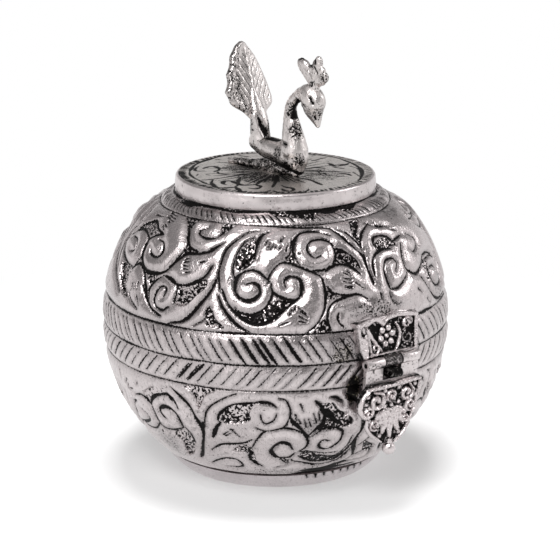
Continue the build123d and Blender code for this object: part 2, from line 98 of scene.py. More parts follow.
# ---- the pattern of the lid: a meander of stems that sends off volutes and leaves ----
# a cut is its half width and the points that its curve goes through, each an azimuth and a run
# the middle sixth is repeated round the back, and the two sixths beside it are a little different
LID_SCROLLS = [
    (MEDIUM, [(-45, 42.5), (-49.5, 41.5), (-54, 38), (-57, 34.5), (-58, 29), (-58, 26.5),
        (-56.5, 21.5)]),
    (THICK, [(-56, 22.5), (-54, 19), (-51, 16), (-47, 13.5), (-44, 12.5), (-41, 13), (-36, 16), (-32, 19),
        (-30, 20)]),
    (THICK, [(-57, 20.5), (-55, 17), (-50.5, 12.5), (-45.5, 10)]),
    (THICK, [(-58.5, 25.5), (-60, 21.5), (-63, 17.5), (-68, 12), (-74.5, 10)]),
    (FINE, [(-65, 10.5), (-61, 13), (-60.5, 15.5), (-59.5, 17)]),
    (THICK, [(-47.5, 24.5), (-45.5, 25), (-44, 24.5), (-43, 23.5), (-43, 21.5), (-46, 19.5), (-50, 20.5),
        (-51.5, 23.5), (-51, 26.5), (-48, 28.5), (-44, 28.5), (-39.5, 25.5)]),
    (MEDIUM, [(-51, 17.5), (-49.5, 16), (-45, 15.5), (-40.5, 18), (-38.5, 22), (-39, 24)]),
    (FINE, [(-45.5, 40), (-49.5, 38), (-52, 34), (-53, 29), (-52, 26)]),
    (THICK, [(-40.5, 42), (-43.5, 40.5), (-45, 37), (-45.5, 32)]),
    (MEDIUM, [(-40, 25), (-39.5, 27.5), (-36, 31), (-32, 31), (-24, 28), (-21, 26), (-20.5, 20.5),
        (-21.5, 16), (-24.5, 12), (-29, 9)]),
    (THICK, [(-34, 23.5), (-34.5, 25.5), (-33.5, 26.5), (-32, 27), (-29, 26), (-28.5, 22.5), (-30.5, 20),
        (-35, 20.5), (-38.5, 22.5), (-39, 25)]),
    (THICK, [(-17.5, 41.5), (-23, 42), (-27.5, 41), (-30, 38), (-30.5, 34), (-28.5, 30.5)]),
    (MEDIUM, [(-20, 33), (-22.5, 32.5), (-24.5, 34), (-25, 36), (-23, 38), (-18.5, 38.5), (-15, 37),
        (-14, 34.5), (-14.5, 32), (-16.5, 29.5), (-20, 28.5), (-23.5, 28.5), (-27, 29)]),
    (FINE, [(-18, 41.5), (-16, 40.5), (-14, 39.5)]),
    (MEDIUM, [(-34, 32.5), (-32.5, 33.5), (-31.5, 35)]),
    (THICK, [(-19.5, 28), (-16, 29.5), (-12, 29.5), (-9, 28.5), (-6, 26)]),
    (MEDIUM, [(-19.5, 23.5), (-18, 21.5), (-15, 20.5), (-11.5, 20)]),
    (MEDIUM, [(-5, 18), (-9, 20), (-16, 19), (-19.5, 17), (-20.5, 13), (-19, 9)]),
    (MEDIUM, [(-16.5, 15), (-17, 13.5), (-16.5, 12), (-15, 10.5)]),
    (MEDIUM, [(-14, 35), (-10, 33.5), (-6.5, 30.5), (-5.5, 27.5)]),
    (MEDIUM, [(-40, 44.5), (-29, 44), (-15, 43), (-10.5, 40.5), (-7, 36), (-4, 33)]),
    (THICK, [(-4, 33), (-2.5, 31), (-2.5, 28), (-2, 25), (-1.5, 22)]),
]
LID_RIGHT_SCROLLS = [
    (FINE, [(-9.5, 41.5), (-6, 39.5), (-3.5, 36), (-1.5, 32.5)]),
    (MEDIUM, [(9, 42), (3, 39.5), (-1, 36.5), (-2.5, 33)]),
    (THICK, [(4, 34), (5.5, 36), (8.5, 36.5), (13, 35.5), (15.5, 33.5)]),
    (MEDIUM, [(15.5, 33.5), (19.5, 34), (23, 34.5)]),
    (THICK, [(12.5, 31.5), (7, 32), (2.5, 30.5), (0.5, 28), (0, 24.5)]),
    (MEDIUM, [(10, 24.5), (12, 26.5), (10.5, 28.5), (7.5, 28.5), (5.5, 27), (4.5, 24.5), (5, 20.5),
        (6, 19.5), (9.5, 19.5), (14, 21.5), (16, 23)]),
    (FINE, [(26, 34), (29.5, 32), (29, 29.5), (25, 28), (22.5, 29.5)]),
    (MEDIUM, [(19.5, 32), (16.5, 28.5), (16, 24.5), (20.5, 21.5), (26, 23), (30.5, 25.5)]),
    (MEDIUM, [(30.5, 25.5), (35.5, 25.5), (40, 23.5), (41, 20.5), (40.5, 16), (37.5, 14.5), (33, 15),
        (30.5, 18), (32.5, 21), (36.5, 20.5), (37.5, 18.5)]),
    (FINE, [(43.5, 23.5), (43.5, 20), (39.5, 15.5)]),
    (MEDIUM, [(23, 20.5), (26, 16.5), (29, 12.5), (34, 10.5), (42, 10.5)]),
    (FINE, [(48, 41), (43.5, 38.5), (48.5, 37), (53, 37.5), (55.5, 39)]),
    (FINE, [(53, 34), (49, 32), (43, 33), (38, 36.5)]),
    (FINE, [(4.5, 19), (4.5, 17), (5.5, 15)]),
    (MEDIUM, [(55, 43), (48.5, 30), (46, 18), (48, 10)]),
    (FINE, [(48, 41.5), (54, 38), (49, 36.5), (39, 37), (38, 38.5)]),
    (FINE, [(52.5, 44.5), (56.5, 39.5), (51.5, 36), (48, 32.5), (46.5, 31)]),
    (FINE, [(12, 41.5), (12, 39.5), (15, 39), (17, 38.5)]),
    (FINE, [(31, 24), (37, 24), (41.5, 22)]),
    (FINE, [(6.5, 42.5), (9.5, 40.5), (13.5, 40)]),
]
LID_LEFT_SCROLLS = [
    (THICK, [(-110, 33.5), (-104, 35), (-98, 33.5), (-96.5, 31), (-96.5, 27), (-99, 23)]),
    (MEDIUM, [(-99, 23), (-105, 23.5), (-111.5, 25.5), (-114, 29), (-110, 33.5)]),
    (FINE, [(-108.5, 31.5), (-104.5, 31), (-102.5, 29), (-103, 27.5), (-105.5, 27)]),
    (MEDIUM, [(-120.5, 44.5), (-113.5, 39.5), (-112, 36), (-115, 32), (-115.5, 26), (-111, 20)]),
    (MEDIUM, [(-128, 44), (-119, 38.5), (-118.5, 33), (-119.5, 26), (-114, 20), (-107, 16.5),
        (-103, 14)]),
    (THICK, [(-108.5, 34.5), (-106, 37), (-101.5, 39), (-98, 38.5), (-94.5, 37), (-89.5, 36)]),
    (THICK, [(-89.5, 36), (-93.5, 35), (-97, 32.5), (-97, 29.5), (-95.5, 27), (-92, 24.5), (-88.5, 23.5),
        (-83.5, 24), (-80, 25.5), (-77, 29.5), (-75, 32.5)]),
    (MEDIUM, [(-90.5, 34), (-87, 33.5), (-85, 31), (-86, 29), (-88, 28.5), (-91, 29), (-92.5, 30.5)]),
    (MEDIUM, [(-86, 45), (-79.5, 41.5), (-76, 37.5), (-74.5, 35), (-75, 32.5)]),
    (THICK, [(-99.5, 22.5), (-95.5, 25), (-91, 23), (-88, 19.5), (-86, 16), (-82.5, 13), (-78, 11.5)]),
    (FINE, [(-96, 15.5), (-94, 13.5), (-89.5, 11.5)]),
    (MEDIUM, [(-80.5, 24), (-83.5, 21.5), (-85.5, 18.5), (-84.5, 15.5)]),
    (MEDIUM, [(-80.5, 24), (-77, 23.5), (-74, 22), (-73, 19.5), (-73.5, 16.5)]),
    (MEDIUM, [(-78, 17.5), (-77.5, 20), (-80, 20.5), (-81.5, 18.5), (-82, 16), (-80.5, 14), (-77.5, 13.5),
        (-75, 15)]),
    (THICK, [(-80.5, 24), (-76.5, 23), (-73.5, 22), (-69, 22.5), (-65.5, 24), (-62.5, 26.5),
        (-61, 29.5)]),
    (THICK, [(-80, 25.5), (-77.5, 28), (-75, 30.5), (-73, 32), (-68.5, 32.5), (-64, 33.5), (-61, 35.5),
        (-58.5, 37)]),
    (THICK, [(-77, 39.5), (-75.5, 36.5), (-72.5, 34), (-68.5, 33)]),
    (MEDIUM, [(-69, 42), (-71.5, 40.5), (-71, 39), (-68, 38), (-65, 38), (-62, 39), (-60.5, 41.5),
        (-62, 43.5)]),
]
LID_GROUNDS = [
    [(-60, 17), (-58, 15.5), (-57, 13.5), (-54, 11), (-59.5, 11), (-60.5, 13)],
    [(-50, 15.5), (-44, 15.5), (-39.5, 19), (-35, 20), (-30.5, 19.5), (-34.5, 17), (-38, 13.5),
     (-44, 12.5)],
    [(-45.5, 39.5), (-50, 36.5), (-52.5, 31), (-50.5, 28.5), (-46, 31), (-45, 36)],
    [(-34, 31.5), (-31, 34), (-30.5, 31)],
    [(-26, 9.5), (-24.5, 11), (-21.5, 14), (-20, 9.5)],
    [(-20, 22.5), (-16, 20), (-20, 19.5)],
    [(-13.5, 34.5), (-10, 33.5), (-6.5, 30.5), (-5, 27), (-9, 29), (-13, 30), (-15, 30)],
]
LID_RIGHT_GROUNDS = [
    [(-1, 44), (5, 44), (-0.5, 39.5), (-1.5, 35.5), (-4, 39)],
    [(4, 34), (9.5, 35.5), (14, 34.5), (16, 32), (10, 32), (5, 31.5)],
    [(28.5, 25), (31.5, 23), (29, 17), (26, 20)],
]
LID_LEFT_GROUNDS = [
    [(-110, 33.5), (-108, 36.5), (-105, 38), (-100, 39), (-95, 37.5), (-90, 36.5), (-93.5, 35), (-96, 34),
     (-100, 35), (-104, 35)],
    [(-108, 23), (-99.5, 22.5), (-98, 19.5), (-98, 17), (-96, 14), (-100.5, 14.5), (-104.5, 18),
     (-106.5, 21)],
    [(-91.5, 23), (-83.5, 24), (-85.5, 19.5), (-88, 22)],
    [(-73.5, 22), (-70.5, 22), (-67, 23), (-62.5, 25), (-61.5, 23), (-64.5, 20), (-68, 16.5), (-72, 16),
     (-73.5, 17), (-72, 19)],
    [(-84.5, 44.5), (-78, 45), (-74.5, 44), (-76, 42.5), (-77.5, 39.5), (-81, 42)],
    [(-63, 43.5), (-61.5, 44.5), (-56, 44.5), (-57, 42.5), (-60, 40), (-62, 41.5)],
    [(-74.5, 35), (-70.5, 33), (-74, 32), (-75.5, 32.5)],
]
# short cuts: each is where it starts and where it ends
LID_TICKS = [
    ((-41.5, 37), (-40.5, 38.5)), ((-40.5, 35.5), (-39.5, 37.5)), ((-39.5, 35.5), (-38, 37)),
    ((-37.5, 36), (-37, 36.5)), ((-36, 35.5), (-35, 36.5)), ((-35.5, 38), (-34, 39.5)),
    ((-33.5, 35), (-32.5, 37)), ((-31, 38.5), (-32, 35.5)), ((-36, 12.5), (-33, 13.5)),
    ((-30, 17.5), (-27.5, 15.5)), ((-29.5, 16.5), (-27, 14.5)), ((-30, 15), (-27, 13.5)),
    ((-30, 13.5), (-27.5, 13)), ((-31.5, 16.5), (-31, 18)), ((-33, 15.5), (-32, 17.5)),
    ((-28.5, 34), (-28, 34)), ((-10.5, 26.5), (-11.5, 27.5)), ((-10.5, 25.5), (-13, 27)),
    ((-10.5, 24.5), (-14, 25.5)), ((-10.5, 23.5), (-14, 24.5)), ((-10.5, 22.5), (-13.5, 23)),
    ((-11, 22), (-13.5, 22.5)), ((-9, 23.5), (-6.5, 21.5)),
]
LID_RIGHT_TICKS = [
    ((11, 39.5), (13.5, 39.5)), ((13.5, 39.5), (15.5, 39)), ((17.5, 37), (20.5, 36)),
    ((19, 17), (20.5, 15.5)), ((23, 13), (24.5, 11.5)), ((18.5, 17), (20, 16)), ((0, 19), (0, 17)),
]
LID_LEFT_TICKS = [
    ((-104, 41), (-97.5, 41.5)), ((-97, 44), (-90, 43.5)), ((-95.5, 43), (-88.5, 42)),
    ((-95, 42), (-88.5, 41)), ((-91.5, 39), (-89.5, 38.5)), ((-91.5, 40.5), (-89.5, 40)),
    ((-93, 38.5), (-91, 37.5)), ((-94.5, 18.5), (-94.5, 16.5)), ((-93, 19.5), (-92.5, 17.5)),
    ((-91.5, 19.5), (-91, 17.5)), ((-89, 19), (-88, 17)), ((-90.5, 15.5), (-88.5, 13)),
    ((-72.5, 30), (-71, 30.5)), ((-72.5, 29), (-70.5, 29.5)), ((-72.5, 28), (-70.5, 28)),
    ((-72, 27), (-70, 27)), ((-71, 26), (-69, 26.5)), ((-66, 29.5), (-63.5, 30.5)),
]
# worn black patches on the shoulder, close under the cap
CAP_GROUNDS = [
    [(-112, 50), (-102, 51), (-92, 50.5), (-80.5, 50.5), (-89.5, 48.5), (-95, 48.5), (-106, 49)],
    [(-67, 50.5), (-59, 51), (-56, 50), (-63, 50)],
    [(-40.5, 50), (-38.5, 51), (-26.5, 50.5), (-12, 50.5), (-1.5, 50), (-14, 49.5), (-18, 46.5),
     (-27.5, 47.5), (-36.5, 48.5)],
    [(-1, 49), (8, 49.5), (9, 49), (2.5, 48)],
]

# ---- the pattern of the bowl, in the same terms ----
BOWL_SCROLLS = [
    (THICK, [(-74, -10.5), (-70.5, -13), (-67.5, -16), (-66, -20), (-64.5, -24), (-65, -28), (-69, -36.5),
        (-72, -40)]),
    (THICK, [(-63.5, -21.5), (-64, -23.5), (-65, -25.5)]),
    (FINE, [(-50, -9.5), (-54.5, -11.5), (-60, -15.5), (-62.5, -20.5), (-63, -23.5)]),
    (THICK, [(-56.5, -20.5), (-58.5, -23), (-61, -27.5)]),
    (MEDIUM, [(-57.5, -20.5), (-56.5, -17.5), (-52.5, -14), (-49, -13), (-44.5, -12.5)]),
    (MEDIUM, [(-44.5, -12.5), (-42, -12), (-39, -12.5), (-37, -14)]),
    (FINE, [(-37, -16), (-38, -18.5), (-40.5, -20), (-42, -19), (-42.5, -16.5)]),
    (FINE, [(-36.5, -10.5), (-34, -11.5), (-32.5, -15.5), (-33, -18.5), (-34.5, -21.5), (-37.5, -22.5),
        (-41, -23), (-44.5, -21.5)]),
    (MEDIUM, [(-63.5, -34), (-58.5, -30.5), (-53, -29.5), (-49, -28.5), (-46, -27)]),
    (THICK, [(-48, -31.5), (-47, -33.5), (-48, -36), (-47, -38), (-43.5, -41)]),
    (MEDIUM, [(-67.5, -42.5), (-63, -39.5), (-57.5, -37.5), (-53.5, -38), (-52, -41), (-54, -42.5),
        (-60, -43)]),
    (FINE, [(-39, -23), (-41.5, -23.5), (-44, -26.5), (-46, -30), (-47, -31.5)]),
    (MEDIUM, [(-36, -22), (-33, -22), (-29, -23.5), (-27, -25), (-25.5, -28), (-26, -30.5),
        (-28.5, -33)]),
    (THICK, [(-31, -31.5), (-32.5, -29), (-35.5, -28), (-38.5, -30.5), (-39, -33), (-36.5, -35.5),
        (-32, -35.5), (-30, -33.5)]),
    (THICK, [(-33, -16.5), (-32, -19), (-30, -21), (-27.5, -24), (-25.5, -26)]),
    (THICK, [(-24.5, -12), (-22.5, -14), (-21, -17), (-21, -20.5), (-23, -22.5), (-25.5, -25.5)]),
    (MEDIUM, [(-19.5, -11), (-17.5, -11.5), (-15, -13)]),
    (MEDIUM, [(-25, -26.5), (-22.5, -24.5), (-20.5, -23), (-18, -22.5), (-15, -23.5), (-13, -25),
        (-12.5, -27), (-13, -29.5), (-15, -31.5), (-17.5, -32.5), (-20.5, -31.5), (-21, -29.5),
        (-20, -28), (-17.5, -28.5)]),
    (FINE, [(-28.5, -33), (-24, -33), (-18, -34.5), (-12.5, -34.5)]),
    (MEDIUM, [(-28.5, -35), (-24.5, -37.5), (-21, -39), (-15.5, -39), (-12, -37), (-8.5, -32.5),
        (-8, -28)]),
    (MEDIUM, [(-29, -38), (-20, -41), (-15, -41), (-9.5, -40), (-6.5, -35.5), (-5, -32.5),
        (-5.5, -27.5)]),
    (THICK, [(-5.5, -27.5), (-5.5, -32), (-2, -39.5)]),
    (MEDIUM, [(-0.5, -28), (2.5, -30), (6.5, -32)]),
]
BOWL_LEFT_SCROLLS = [
    (MEDIUM, [(-104, -29.5), (-100, -25), (-98.5, -22), (-95.5, -20.5)]),
    (MEDIUM, [(-104, -29.5), (-100.5, -30.5), (-93, -28), (-91, -25.5), (-93.5, -23.5)]),
    (MEDIUM, [(-94.5, -18), (-89.5, -17), (-86.5, -19), (-85.5, -22), (-85.5, -26.5), (-83.5, -28),
        (-79, -28), (-73, -26)]),
    (MEDIUM, [(-105.5, -30), (-98, -31.5), (-90.5, -30.5), (-85, -26.5)]),
    (THICK, [(-86, -19.5), (-84, -16.5), (-80, -14.5), (-76, -13.5), (-74.5, -15.5)]),
    (MEDIUM, [(-76, -13), (-73.5, -15.5), (-72.5, -18)]),
    (THICK, [(-80, -23.5), (-81.5, -22), (-81.5, -20), (-78.5, -18.5), (-75.5, -19), (-73.5, -21.5),
        (-73, -26)]),
    (MEDIUM, [(-72.5, -25), (-70.5, -27.5), (-70, -31.5)]),
    (FINE, [(-107, -17), (-109, -22.5)]),
    (FINE, [(-103, -18.5), (-105.5, -24.5)]),
    (THICK, [(-131, -10.5), (-127.5, -13), (-124.5, -16), (-123, -20), (-121.5, -24), (-122, -28),
        (-126, -36.5), (-129, -40)]),
    (MEDIUM, [(-119, -12), (-115, -15), (-112.5, -20), (-112, -27), (-114, -33)]),
    (THICK, [(-117.5, -26), (-119.5, -29), (-118.5, -33), (-114.5, -34.5), (-111, -32.5), (-111, -29.5),
        (-114, -28.5)]),
    (MEDIUM, [(-122, -38), (-116, -38.5), (-108, -36), (-103, -31)]),
]
BOWL_GROUNDS = [
    [(-69, -9), (-64.5, -8.5), (-59, -8.5), (-57, -9), (-60.5, -11), (-63.5, -16), (-64, -13.5),
     (-66, -10)],
    [(-57.5, -20.5), (-56.5, -17.5), (-52.5, -14), (-49, -13), (-44.5, -12.5), (-46, -15.5), (-46, -18.5),
     (-49.5, -19.5), (-52.5, -20)],
    [(-54.5, -32.5), (-50.5, -29.5), (-47, -29.5), (-46, -33), (-45, -40), (-47.5, -38), (-48.5, -33),
     (-51.5, -32.5)],
    [(-23.5, -14), (-21, -13), (-18.5, -13), (-16, -16), (-12.5, -17), (-14, -18.5), (-12, -18.5),
     (-10, -21.5), (-15.5, -23.5), (-22, -23.5), (-25, -26), (-22.5, -22.5), (-21, -19), (-21, -16)],
    [(-28, -34), (-25.5, -32), (-22, -34), (-17, -35.5), (-12.5, -36), (-9, -35), (-10, -39),
     (-15.5, -39.5), (-22, -38.5), (-26, -37.5)],
    [(-1, -31.5), (7, -35.5), (7, -39), (3, -38), (0, -35.5)],
]
BOWL_LEFT_GROUNDS = [
    [(-121, -14), (-117, -13), (-114, -17), (-113.5, -24), (-118, -22), (-120.5, -18)],
    [(-87, -14.5), (-82.5, -12), (-79, -11.5), (-76, -12.5), (-80, -14.5), (-85, -17.5), (-87, -19),
     (-88, -17)],
    [(-78.5, -29), (-72.5, -25), (-70.5, -27.5), (-70, -31.5), (-73, -37), (-78, -39.5), (-76, -33)],
]
BOWL_TICKS = [
    ((-56, -25), (-54, -23.5)), ((-55.5, -25.5), (-53, -24)), ((-53, -22.5), (-52, -22.5)),
    ((-52.5, -23), (-51.5, -23.5)), ((-51.5, -24), (-50, -25.5)), ((-29.5, -12.5), (-28.5, -15)),
    ((-30.5, -19), (-31, -17)), ((-29, -20), (-30, -18)), ((-27, -21.5), (-28, -18)),
    ((-25.5, -21), (-26.5, -18)), ((-23.5, -20), (-25, -16)), ((-22.5, -19), (-23, -16)),
    ((-31, -16.5), (-30.5, -17.5)), ((-34, -37.5), (-31, -36.5)), ((-37.5, -40.5), (-33, -39)),
    ((-35.5, -36.5), (-32.5, -38.5)), ((-34.5, -36), (-31.5, -38.5)), ((-31, -37), (-29, -38.5)),
]
BOWL_LEFT_TICKS = [
    ((-101, -10.5), (-101, -13.5)), ((-98, -14), (-96.5, -12.5)), ((-96.5, -14.5), (-97, -16)),
    ((-96, -16), (-94, -15.5)), ((-90.5, -13), (-89.5, -12)),
]

# ---- the flower on the top disc: each point is an azimuth and a radius ----
DISC_LINES = [
    (THICK, [(-187, 28.4), (-176, 28.4), (-164, 27.8), (-152, 27.6), (-139, 27), (-129, 27)]),
    (MEDIUM, [(-129, 27), (-118, 27), (-109, 26.8), (-98, 26.6), (-91, 27), (-82, 27.2)]),
    (MEDIUM, [(175, 28.3), (155, 28.2), (135, 28.2), (115, 28.2), (100, 28.3), (88, 27.6)]),
    (THICK, [(92, 27.7), (80, 27.3), (66, 27.2), (52, 27.1), (37, 27.7), (27, 28.5)]),
    (MEDIUM, [(-130, 22.4), (-129, 24.6), (-132, 25.5), (-138, 25.7), (-145, 25.6)]),
    (THICK, [(-138, 23.2), (-144, 22.7), (-148, 21.4), (-147, 20), (-141, 18.3), (-133, 18.2),
        (-127, 19.3)]),
    (MEDIUM, [(-127, 18.1), (-119, 18), (-115, 16.7), (-111, 15)]),
    (MEDIUM, [(-118, 13.3), (-122, 11.4), (-126, 9.5), (-132, 7.8)]),
    (MEDIUM, [(-100, 25.8), (-99, 22), (-100, 18), (-104, 12.7), (-107, 9.8), (-100, 6.7)]),
    (THICK, [(-97, 22.4), (-91, 24.5), (-85, 26.2), (-79, 27.7), (-74, 28.1), (-69, 25.8), (-67, 24.4)]),
    (THICK, [(-77, 23.6), (-81, 23.3), (-86, 21.5), (-87, 20), (-82, 19), (-76, 20), (-70, 21.5),
        (-68, 24)]),
    (THICK, [(-89, 14), (-80, 17), (-74, 19.2), (-69, 20.8), (-65, 20.9), (-56, 18.7), (-56, 13.8),
        (-48, 7)]),
    (THICK, [(-57, 18.7), (-53, 20), (-50, 20.8), (-50, 22.5), (-52, 24.3), (-57, 24)]),
    (THICK, [(-68, 24), (-62, 27.1), (-58, 29.2), (-55, 30)]),
    (THICK, [(-54, 29.3), (-51, 29.6), (-47, 29.2), (-44, 28.2), (-41, 25.8)]),
    (THICK, [(-40, 21.5), (-38, 16), (-35, 8.5), (-33, 5)]),
    (THICK, [(-32, 19), (-29, 21.5), (-25, 23.5), (-26, 26.5), (-31, 26.5), (-33, 23.5)]),
    (MEDIUM, [(-39, 26), (-36, 28.5), (-31, 30), (-25, 29.8), (-21, 29.6), (-18, 28.2), (-15, 26.2)]),
    (THICK, [(3, 12), (5, 15.5), (2, 20), (0, 23.4)]),
    (MEDIUM, [(-181, 25.4), (-177, 22), (-176, 18.6), (-176, 11.8)]),
    (MEDIUM, [(-190, 26.3), (-193, 25), (-196, 23.3)]),
    (FINE, [(-163, 23.2), (-167, 20), (-169, 16), (-165, 11.7)]),
    (FINE, [(-146, 17.8), (-150, 16.7), (-156, 16)]),
    (THICK, [(90, 20.6), (87, 21), (80, 20.3), (75, 21), (76, 23), (77, 24.8), (80, 26.5)]),
    (MEDIUM, [(74, 19.6), (68, 20.4), (64, 22)]),
    (MEDIUM, [(75, 8), (77, 13.4), (73, 15.2), (69, 16.5)]),
    (MEDIUM, [(59, 8), (56, 14.3), (53, 16.6), (52, 19.5), (51, 21.7), (49, 23.5)]),
    (THICK, [(45, 20), (44, 22.5), (39, 24.4)]),
    (MEDIUM, [(106, 19.4), (105, 21.4), (105, 23.6), (104, 26.4)]),
    (FINE, [(71, 25), (64, 26), (57, 26.5)]),
    (FINE, [(50, 24.4), (45, 25.4), (38, 27)]),
    (MEDIUM, [(130, 23), (124, 21), (128, 18.5), (136, 19), (140, 12), (142, 6)]),
]
DISC_TICKS = [
    ((-116, 22), (-113, 21)), ((-119, 24.5), (-113, 25.5)), ((51, 13.4), (34, 15)),
    ((45, 15.2), (35, 16.8)), ((115, 25.8), (114, 27.2)), ((-170, 26), (-172, 24.8)),
    ((-11, 30.2), (-6, 30.2)),
]


# ---- settings ----
def size(name, default, description):
    """A length in metres that the sidebar shows, from a default in millimetres."""
    return FloatProperty(
        name=name, default=default * MM, description=description, unit="LENGTH", precision=5
    )


def colour(name, default, description):
    """A colour that the sidebar shows."""
    return FloatVectorProperty(
        name=name, default=default, description=description, subtype="COLOR", min=0.0, max=1.0
    )


class PaanBoxSizes(bpy.types.PropertyGroup):
    """Sizes of the relief, which the frame doesn't give."""

    crown: size("Crown", 0.75, "How far a leaf's middle stands above the cuts round it")
    cut_depth: size("Cut depth", 0.45, "Depth of a chased line")
    ground_depth: size("Ground depth", 0.55, "Depth of the punched ground")
    carving: size("Carving", 1.0, "About the tallest relief on the clasp and shield")


class PaanBoxColours(bpy.types.PropertyGroup):
    """Colours of the metal and the stage."""

    bright: colour("Bright metal", (0.62, 0.568, 0.57), "Rubbed metal of the shells and the clasp")
    plain: colour("Plain metal", (0.69, 0.635, 0.635), "Polished band of the top, hinge and strap")
    foot: colour("Foot", (0.61, 0.563, 0.573), "Satin metal of the foot")
    disc: colour("Top disc", (0.80, 0.755, 0.72), "Duller metal of the top disc")
    cast: colour("Cast metal", (0.72, 0.675, 0.66), "Metal of the peacock")
    brass: colour("Tarnish", (0.30, 0.265, 0.17), "Yellowish bloom where the metal has tarnished")
    lining: colour("Lining", (0.48, 0.455, 0.44), "Metal inside the box")
    oxide: colour("Oxide", (0.010, 0.009, 0.009), "Blackened cuts and grounds")
    floor: colour("Floor", (0.92, 0.92, 0.92), "Table and backdrop")


# ---- meshes ----
def grid_faces(rows, columns, wrap_rows):
    """Quads between neighbouring rows of a grid whose columns close up; the rows may close up too."""
    lower = np.arange(rows if wrap_rows else rows - 1)
    row, column = np.meshgrid(lower, np.arange(columns), indexing="ij")
    here, above = row * columns, (row + 1) % rows * columns
    right = (column + 1) % columns
    corners = [here + column, here + right, above + right, above + column]
    return np.stack(corners, -1).reshape(-1, 4)


def end_faces(row, columns, pole, outwards):
    """Triangles from the last or first row of a grid to its pole."""
    here = row * columns + np.arange(columns)
    after = row * columns + (np.arange(columns) + 1) % columns
    pair = (here, after) if outwards else (after, here)
    return np.stack([*pair, np.full(columns, pole)], -1)


def skin(points, fields=None, loop=False):
    """A closed surface over rows of points, (rows, columns, 3): each row closes up on itself, and the run
    of rows closes up too if it is a loop, or ends in a fan to the middle of its first and last row."""
    rows, columns = points.shape[:2]
    vertices = points.reshape(-1, 3)
    values = {}
    for name, field in (fields or {}).items():
        values[name] = np.broadcast_to(field, (rows, columns)).reshape(-1)
    faces = grid_faces(rows, columns, loop).tolist()
    if not loop:
        poles = np.stack([points[0].mean(0), points[-1].mean(0)])
        first = rows * columns
        faces += end_faces(0, columns, first, False).tolist()
        faces += end_faces(rows - 1, columns, first + 1, True).tolist()
        vertices = np.vstack([vertices, poles])
        for name, value in values.items():
            values[name] = np.append(value, [value[:columns].mean(), value[-columns:].mean()])
    return vertices, faces, values


def joined(*skins):
    """Several closed surfaces as one mesh."""
    vertices, faces, values, first = [], [], {}, 0
    for points, polygons, fields in skins:
        vertices.append(points)
        faces += [[first + corner for corner in face] for face in polygons]
        for name, field in fields.items():
            values.setdefault(name, []).append(field)
        first += len(points)
    return np.vstack(vertices), faces, {name: np.concatenate(parts) for name, parts in values.items()}


def new_object(name, data):
    """A new object in the scene."""
    made = bpy.data.objects.new(name, data)
    bpy.context.scene.collection.objects.link(made)
    return made


def new_mesh(name, points, faces):
    """A new object in the scene, with faces over points that are in millimetres."""
    mesh = bpy.data.meshes.new(name)
    mesh.from_pydata((points * MM).tolist(), [], faces)
    return new_object(name, mesh)


def make_piece(name, shape, material, body, nodes, sharp=40.0):
    """Makes a piece of a surface, with its fields as attributes, and hands it to the frame."""
    points, faces, fields = shape
    piece = new_mesh(name, points, faces)
    for field, values in fields.items():
        attribute = piece.data.attributes.new(field, "FLOAT", "POINT")
        attribute.data.foreach_set("value", values.astype(np.float32))
    piece.data.shade_smooth()
    piece.data.set_sharp_from_angle(angle=sharp * DEGREE)
    piece.data.materials.append(material)
    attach(piece, body)
    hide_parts(*nodes)


# ---- curves and distances ----
def through(points, steps=5):
    """Points on a Catmull-Rom curve through a few chosen ones: between two of them a cubic whose slope at
    each is half the step from its neighbour before to its neighbour after."""
    known = np.array(points, float)
    known = np.vstack([2 * known[0] - known[1], known, 2 * known[-1] - known[-2]])
    before, start, end, after = known[:-3], known[1:-2], known[2:-1], known[3:]
    t = np.linspace(0, 1, steps, endpoint=False)[:, None, None]
    curve = 2 * start + (end - before) * t + (2 * before - 5 * start + 4 * end - after) * t**2
    curve = (curve + (3 * start - before - 3 * end + after) * t**3) / 2
    return np.vstack([curve.transpose(1, 0, 2).reshape(-1, known.shape[1]), known[-2:-1]])


def near_line(curve, across, along, scale=1.0):
    """Distance of each point from a run of straight segments, and where along the run the nearest place is,
    from 0 to 1: each point is dropped on each segment and held between its ends."""
    x, y = curve[:, 0, None, None] * scale, curve[:, 1, None, None]
    run_x, run_y = x[1:] - x[:-1], y[1:] - y[:-1] + 0 * x[1:]
    from_x, from_y = across - x[:-1], along - y[:-1]
    t = np.clip((from_x * run_x + from_y * run_y) / (run_x**2 + run_y**2 + 1e-9), 0, 1)
    distance = np.hypot(from_x - t * run_x, from_y - t * run_y)
    nearest = distance.argmin(0)[None]
    place = (nearest[0] + np.take_along_axis(t, nearest, 0)[0]) / len(t)
    return np.take_along_axis(distance, nearest, 0)[0], place


def inside(outline, across, along, scale):
    """Whether each point lies inside a closed outline: a ray from it crosses the outline an odd number of
    times."""
    x, y = outline[:, 0, None, None] * scale, outline[:, 1, None, None]
    next_x, next_y = np.roll(x, -1, 0), np.roll(y, -1, 0)
    spans = (y > along) != (next_y > along)
    crossing = x + (along - y) * (next_x - x) / np.where(next_y == y, 1e-9, next_y - y)
    return (spans & (across < crossing)).sum(0) % 2 == 1


def smooth(low, high, value):
    """0 below low, 1 above high and an S-curve between."""
    t = np.clip((value - low) / (high - low), 0, 1)
    return t * t * (3 - 2 * t)


def hump(value, width):
    """A bell curve: 1 where the value is 0, falling off to both sides over the width."""
    return np.exp(-((value / width) ** 2))


def fall_off(value, width):
    """1 up to a value of 0, falling off above it as half a bell curve over the width."""
    return hump(np.maximum(value, 0), width)


def azimuths(count):
    """Evenly spaced azimuths right round, in degrees."""
    return np.arange(count) * 360 / count


def azimuth_from(centre, azimuth):
    """How far an azimuth is from a centre, between -180 and 180 degrees."""
    return (azimuth - centre + 180) % 360 - 180


def circle(count):
    """A row of evenly spaced angles right round, in radians."""
    return np.linspace(0, 2 * np.pi, count, endpoint=False)[None]


